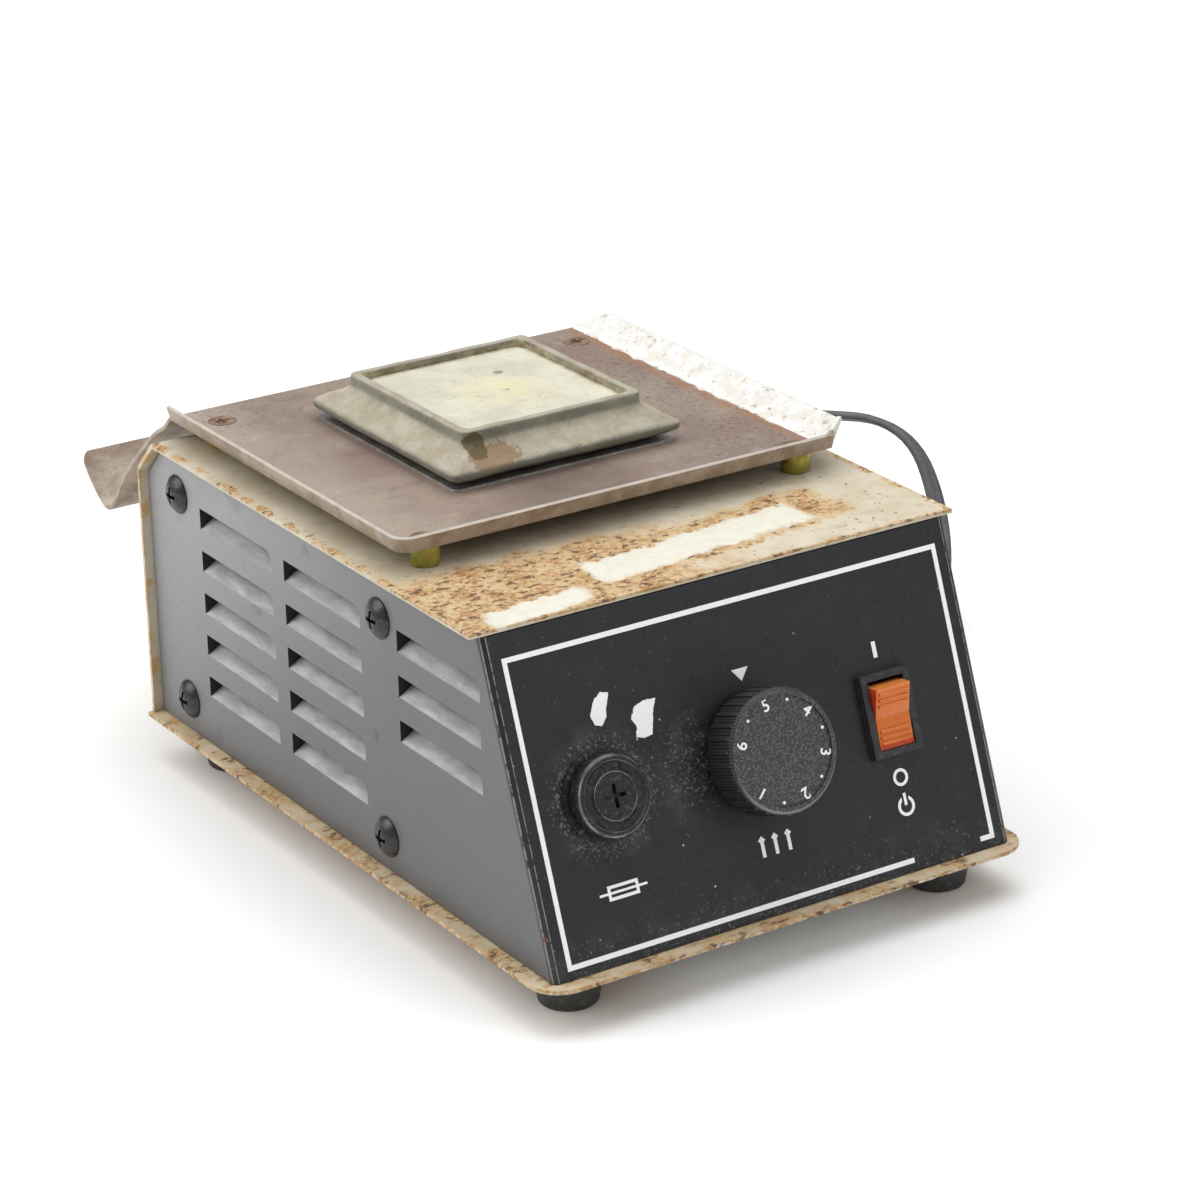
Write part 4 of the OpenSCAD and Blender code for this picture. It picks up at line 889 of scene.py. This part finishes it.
# ---- solder: a cooled bath with a drawn-down edge and a few ripples ----
def make_solder():
    low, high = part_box("solder")
    low, high = low * 1000, high * 1000
    mid = (low + high) / 2
    half_x, half_y = (high.x - low.x) / 2 - 0.05, (high.y - low.y) / 2 - 0.05
    verts, faces = [], []
    rings, around = 26, 96

    def outline(k):
        a = 2 * math.pi * k / around
        c, s = math.cos(a), math.sin(a)
        reach = (abs(c) ** 14 + abs(s) ** 14) ** (-1 / 14)
        return c * reach, s * reach

    verts.append(Vector((mid.x, mid.y, high.z - 0.7)))
    for i in range(1, rings + 1):
        share = i / rings
        for k in range(around):
            cx, cy = outline(k)
            x, y = mid.x + half_x * cx * share, mid.y + half_y * cy * share
            swell = noise.noise(Vector((x, y, 3.1)) * 0.10) * 0.35
            ripple = noise.noise(Vector((x, y, 9.7)) * 0.42) * 0.14
            calm = 1 - share ** 8
            heap = 0.45 * math.exp(-((x - 9) ** 2 + (y - 19) ** 2) / 40)
            z = high.z - 0.75 + (swell + ripple + heap) * calm + 0.55 * share ** 10
            verts.append(Vector((x, y, min(z, high.z))))
    for k in range(around):
        faces.append((0, 1 + k, 1 + (k + 1) % around))
    for i in range(rings - 1):
        faces += band(1 + i * around, 1 + (i + 1) * around, around)
    top = 1 + (rings - 1) * around
    base = len(verts)
    shrink = (half_x - 2.3) / half_x
    for k in range(around):
        cx, cy = outline(k)
        verts.append(Vector((mid.x + half_x * cx * shrink, mid.y + half_y * cy * shrink, low.z)))
    faces += band(top, base, around)
    faces.append(tuple(base + k for k in range(around))[::-1])
    piece = new_piece("solder_bath", verts, faces, True, MATERIALS["solder_metal"])
    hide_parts("solder")


make_solder()


# ---- flux crust: lumps caked on the tray's right flange ----
def make_crust():
    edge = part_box("tray")[1].x * 1000
    verts, faces = [], []
    along, wide = 120, 16
    y0, y1 = -53.0, 69.5
    # follows the floor, then the flange's slope, in x and z
    foot, bend, tip = (63.0, 103.5), (FLANGE_START_X, 103.6), (edge - 0.6, FLANGE_TOP_Z - 0.45)
    on_floor = 0.4  # share of the crust's width that lies on the floor

    def at(share):
        if share < on_floor:
            t, a, b = share / on_floor, foot, bend
        else:
            t, a, b = (share - on_floor) / (1 - on_floor), bend, tip
        return a[0] + (b[0] - a[0]) * t, a[1] + (b[1] - a[1]) * t

    def along_y(i, x):
        """The flange's ends are cut back at a slant, and the crust with them."""
        beyond = max(0.0, x - FLANGE_START_X)
        low, high = y0 + 0.78 * beyond, y1 - 0.5 * beyond
        return low + (high - low) * i / along

    for i in range(along + 1):
        for j in range(wide + 1):
            share = j / wide
            x, z = at(share)
            y = along_y(i, x)
            border = min(share / 0.22, (1 - share) / 0.12, i / 4, (along - i) / 4, 1.0)
            lump = 0.35 + 0.55 * noise.noise(Vector((x, y, 0)) * 0.22) \
                + 0.35 * noise.noise(Vector((x, y, 5)) * 0.6)
            rise = max(0.0, lump) * max(0.0, border)
            x += 0.8 * noise.noise(Vector((y * 0.25, j, 2))) * (1 - share) ** 2
            verts.append(Vector((x - rise * 0.3, y, min(z + rise * 0.8, FLANGE_TOP_Z) + 0.03)))
    n = wide + 1
    count = len(verts)
    # an underside just inside the sheet closes the crust
    for i in range(along + 1):
        for j in range(wide + 1):
            x, z = at(j / wide)
            verts.append(Vector((x, along_y(i, x), z - 0.25)))
    for i in range(along):
        for base in (0, count):
            faces += band(base + i * n, base + (i + 1) * n, n, closed=False)
    # the four borders join the upper side to the underside
    borders = [(i * n + j, (i + 1) * n + j) for i in range(along) for j in (0, wide)] \
        + [(i * n + j, i * n + j + 1) for j in range(wide) for i in (0, along)]
    faces += [(a, b, b + count, a + count) for a, b in borders]
    piece = new_piece("flux_crust", verts, faces, True, crust_finish().material)


def crust_finish():
    k = Mat("flux_crust")
    x, y, z = k.xyz()
    color = k.mix(k.step(k.noise(6, 5, 0.6), 0.36, 0.64), rgb(243, 242, 238), rgb(214, 208, 198))
    inner = k.step(x, 64.5, 61.5)
    brown = k.step(k.plus(k.noise(4, 6, 0.68), k.times(inner, 0.16)), 0.60, 0.70)
    color = k.coat(color, brown, 0.8, rgb(140, 104, 76))
    pits = k.step(k.noise(1.8, 3, 0.6), 0.66, 0.72)
    color = k.coat(color, pits, 0.7, rgb(96, 74, 58))
    k.put("Base Color", color)
    k.put("Roughness", k.blend(brown, 0.8, 0.9))
    k.bump(k.plus(k.noise(2.0, 5, 0.65), k.times(pits, -0.5)), 0.35)
    return k


make_crust()


# ---- marks on the dial: numbers and half-way dots, moulded white ----
def digit_mesh(text, size):
    curve = bpy.data.curves.new("digit", "FONT")
    curve.body = text
    curve.size = size
    curve.align_x = "CENTER"
    curve.align_y = "CENTER"
    curve.extrude = 0.055
    curve.offset = 0.05
    curve.resolution_u = 4
    obj = place("digit", curve)
    bpy.context.view_layer.update()
    graph = bpy.context.evaluated_depsgraph_get()
    mesh = bpy.data.meshes.new_from_object(obj.evaluated_get(graph))
    verts = [v.co.copy() for v in mesh.vertices]
    faces = [tuple(p.vertices) for p in mesh.polygons]
    bpy.data.objects.remove(obj)
    bpy.data.meshes.remove(mesh)
    mid_x = (min(v.x for v in verts) + max(v.x for v in verts)) / 2
    mid_y = (min(v.y for v in verts) + max(v.y for v in verts)) / 2
    return [Vector((v.x - mid_x, v.y - mid_y, v.z)) for v in verts], faces


NUMBERS = (("5", 102.0), ("4", 42.0), ("3", -14.5), ("2", -72.0), ("1", -134.7), ("6", 160.6))
DOTS = (131.3, 72.0, 13.8, -43.2, -103.4)


def make_numbers():
    verts, faces = [], []

    def add(points, polys, angle, radius, turned):
        base = len(verts)
        spin = Matrix.Rotation(turned, 3, "Z")
        offset = Vector((radius * math.cos(angle), radius * math.sin(angle), 0))
        for p in points:
            q = spin @ p + offset
            verts.append(panel(q.x, DIAL_V + q.y, KNOB_FACE + 0.05 + q.z))
        faces.extend(tuple(base + i for i in poly) for poly in polys)

    for text, degrees in NUMBERS:
        points, polys = digit_mesh(text, 4.4)
        angle = math.radians(degrees)
        add(points, polys, angle, 12.5, angle - math.pi / 2)
    dot = [Vector((0.42 * math.cos(a), 0.42 * math.sin(a), z))
           for z in (-0.05, 0.07) for a in (2 * math.pi * k / 12 for k in range(12))]
    dot_faces = [tuple(range(12))[::-1], tuple(range(12, 24))] \
        + [(k, (k + 1) % 12, 12 + (k + 1) % 12, 12 + k) for k in range(12)]
    for degrees in DOTS:
        add(dot, dot_faces, math.radians(degrees), 12.9, 0)
    piece = new_piece("dial_numbers", verts, faces, False, MATERIALS["white_print"], "dial")


make_numbers()


# ---- raised arcs on the fuse cap's face ----
def make_cap_marks():
    verts, faces = [], []
    for start, end in ((38, 66), (76, 104), (114, 142), (222, 318)):
        steps = 10
        ring = len(verts)
        for k in range(steps + 1):
            a = math.radians(start + (end - start) * k / steps)
            for r, h in ((6.9, 0.0), (7.0, 0.32), (8.3, 0.32), (8.4, 0.0)):
                verts.append(panel(FUSE_U + r * math.cos(a), DIAL_V + r * math.sin(a),
                                   CAP_FACE - 0.03 + h))
        for k in range(steps):
            faces += band(ring + k * 4, ring + k * 4 + 4, 4)
        for a in (ring, ring + steps * 4):
            faces.append((a, a + 1, a + 2, a + 3))
    piece = new_piece("fuse_cap_marks", verts, faces, False, MATERIALS["fuse_plastic"],
                      "fuse_cap_turn")


make_cap_marks()


# ---- two torn scraps of white tape on the panel ----
SCRAPS = (
    ((-45.0, 63.0), (-44.2, 60.6), (-42.4, 60.0), (-40.6, 61.6), (-40.2, 63.6), (-38.6, 67.6),
     (-40.8, 68.2), (-43.2, 66.6)),
    ((-33.4, 55.0), (-31.0, 54.2), (-28.6, 54.6), (-28.0, 57.2), (-27.2, 60.0), (-25.8, 63.2),
     (-29.2, 63.4), (-32.2, 62.4), (-33.8, 59.6), (-32.6, 57.6)),
)


def make_scraps():
    verts, faces = [], []
    for outline in SCRAPS:
        loop = []
        n = len(outline)
        for i in range(n):
            a, b = Vector(outline[i]), Vector(outline[(i + 1) % n])
            for k in range(6):
                p = a.lerp(b, k / 6)
                jag = 0.22 * noise.noise(Vector((p.x, p.y, 4)) * 1.7)
                loop.append(p + Vector((jag, -jag)))
        mid = sum(loop, Vector((0, 0))) / len(loop)
        base, count = len(verts), len(loop)
        for ring, (share, lift) in enumerate(((1.0, 0.0), (1.0, 0.10), (0.55, 0.16))):
            for p in loop:
                q = mid.lerp(p, share)
                curl = 0.10 * max(0.0, noise.noise(Vector((q.x, q.y, 8)) * 0.35)) if ring else 0
                verts.append(panel(q.x, q.y, lift + curl - (0.05 if ring == 0 else 0)))
        top = len(verts)
        verts.append(panel(mid.x, mid.y, 0.17))
        for ring in range(2):
            faces += band(base + ring * count, base + (ring + 1) * count, count)
        inner = base + 2 * count
        faces += [(inner + k, inner + (k + 1) % count, top) for k in range(count)]
        faces.append(tuple(base + k for k in range(count))[::-1])
    piece = new_piece("tape_scraps", verts, faces, False, MATERIALS["white_print"])


make_scraps()


# ---- stage: pale floor, soft studio light ----
def make_floor():
    mesh = bpy.data.meshes.new("floor")
    reach, rows = 7.0, 8
    verts = [(-reach + 2 * reach * i / rows, -reach + 2 * reach * j / rows, 0.0)
             for j in range(rows + 1) for i in range(rows + 1)]
    n = rows + 1
    faces = [(j * n + i, j * n + i + 1, (j + 1) * n + i + 1, (j + 1) * n + i)
             for j in range(rows) for i in range(rows)]
    mesh.from_pydata(verts, [], faces)
    mesh.materials.append(floor_paper().material)
    place("floor", mesh)


def lamp(name, at, aim, size, power):
    data = bpy.data.lights.new(name, "AREA")
    data.shape = "RECTANGLE"
    data.size, data.size_y = size
    data.energy = power
    obj = place(name, data)
    obj.location = at
    obj.rotation_mode = "QUATERNION"
    obj.rotation_quaternion = (Vector(aim) - Vector(at)).to_track_quat("-Z", "Y")


def make_light():
    world = bpy.data.worlds.new("studio")
    world.use_nodes = True
    tree = world.node_tree
    tree.nodes.clear()
    out = tree.nodes.new("ShaderNodeOutputWorld")
    seen = tree.nodes.new("ShaderNodeBackground")
    seen.inputs["Color"].default_value = (0.94, 0.94, 0.94, 1)
    seen.inputs["Strength"].default_value = 1.0
    lit = tree.nodes.new("ShaderNodeBackground")
    lit.inputs["Color"].default_value = (0.95, 0.97, 1.0, 1)
    lit.inputs["Strength"].default_value = 0.36
    path = tree.nodes.new("ShaderNodeLightPath")
    mix = tree.nodes.new("ShaderNodeMixShader")
    tree.links.new(path.outputs["Is Camera Ray"], mix.inputs[0])
    tree.links.new(lit.outputs[0], mix.inputs[1])
    tree.links.new(seen.outputs[0], mix.inputs[2])
    tree.links.new(mix.outputs[0], out.inputs[0])
    bpy.context.scene.world = world
    lamp("key", (-1.5, 0.9, 1.3), (0, 0, 0.05), (1.6, 1.6), 24)
    lamp("top", (0.2, 0.3, 1.9), (0, 0, 0), (2.2, 2.2), 37)
    lamp("fill", (0.8, -1.6, 1.4), (0, 0, 0.05), (1.2, 1.2), 7)
    bpy.context.scene.view_settings.view_transform = "Standard"


make_floor()
make_light()
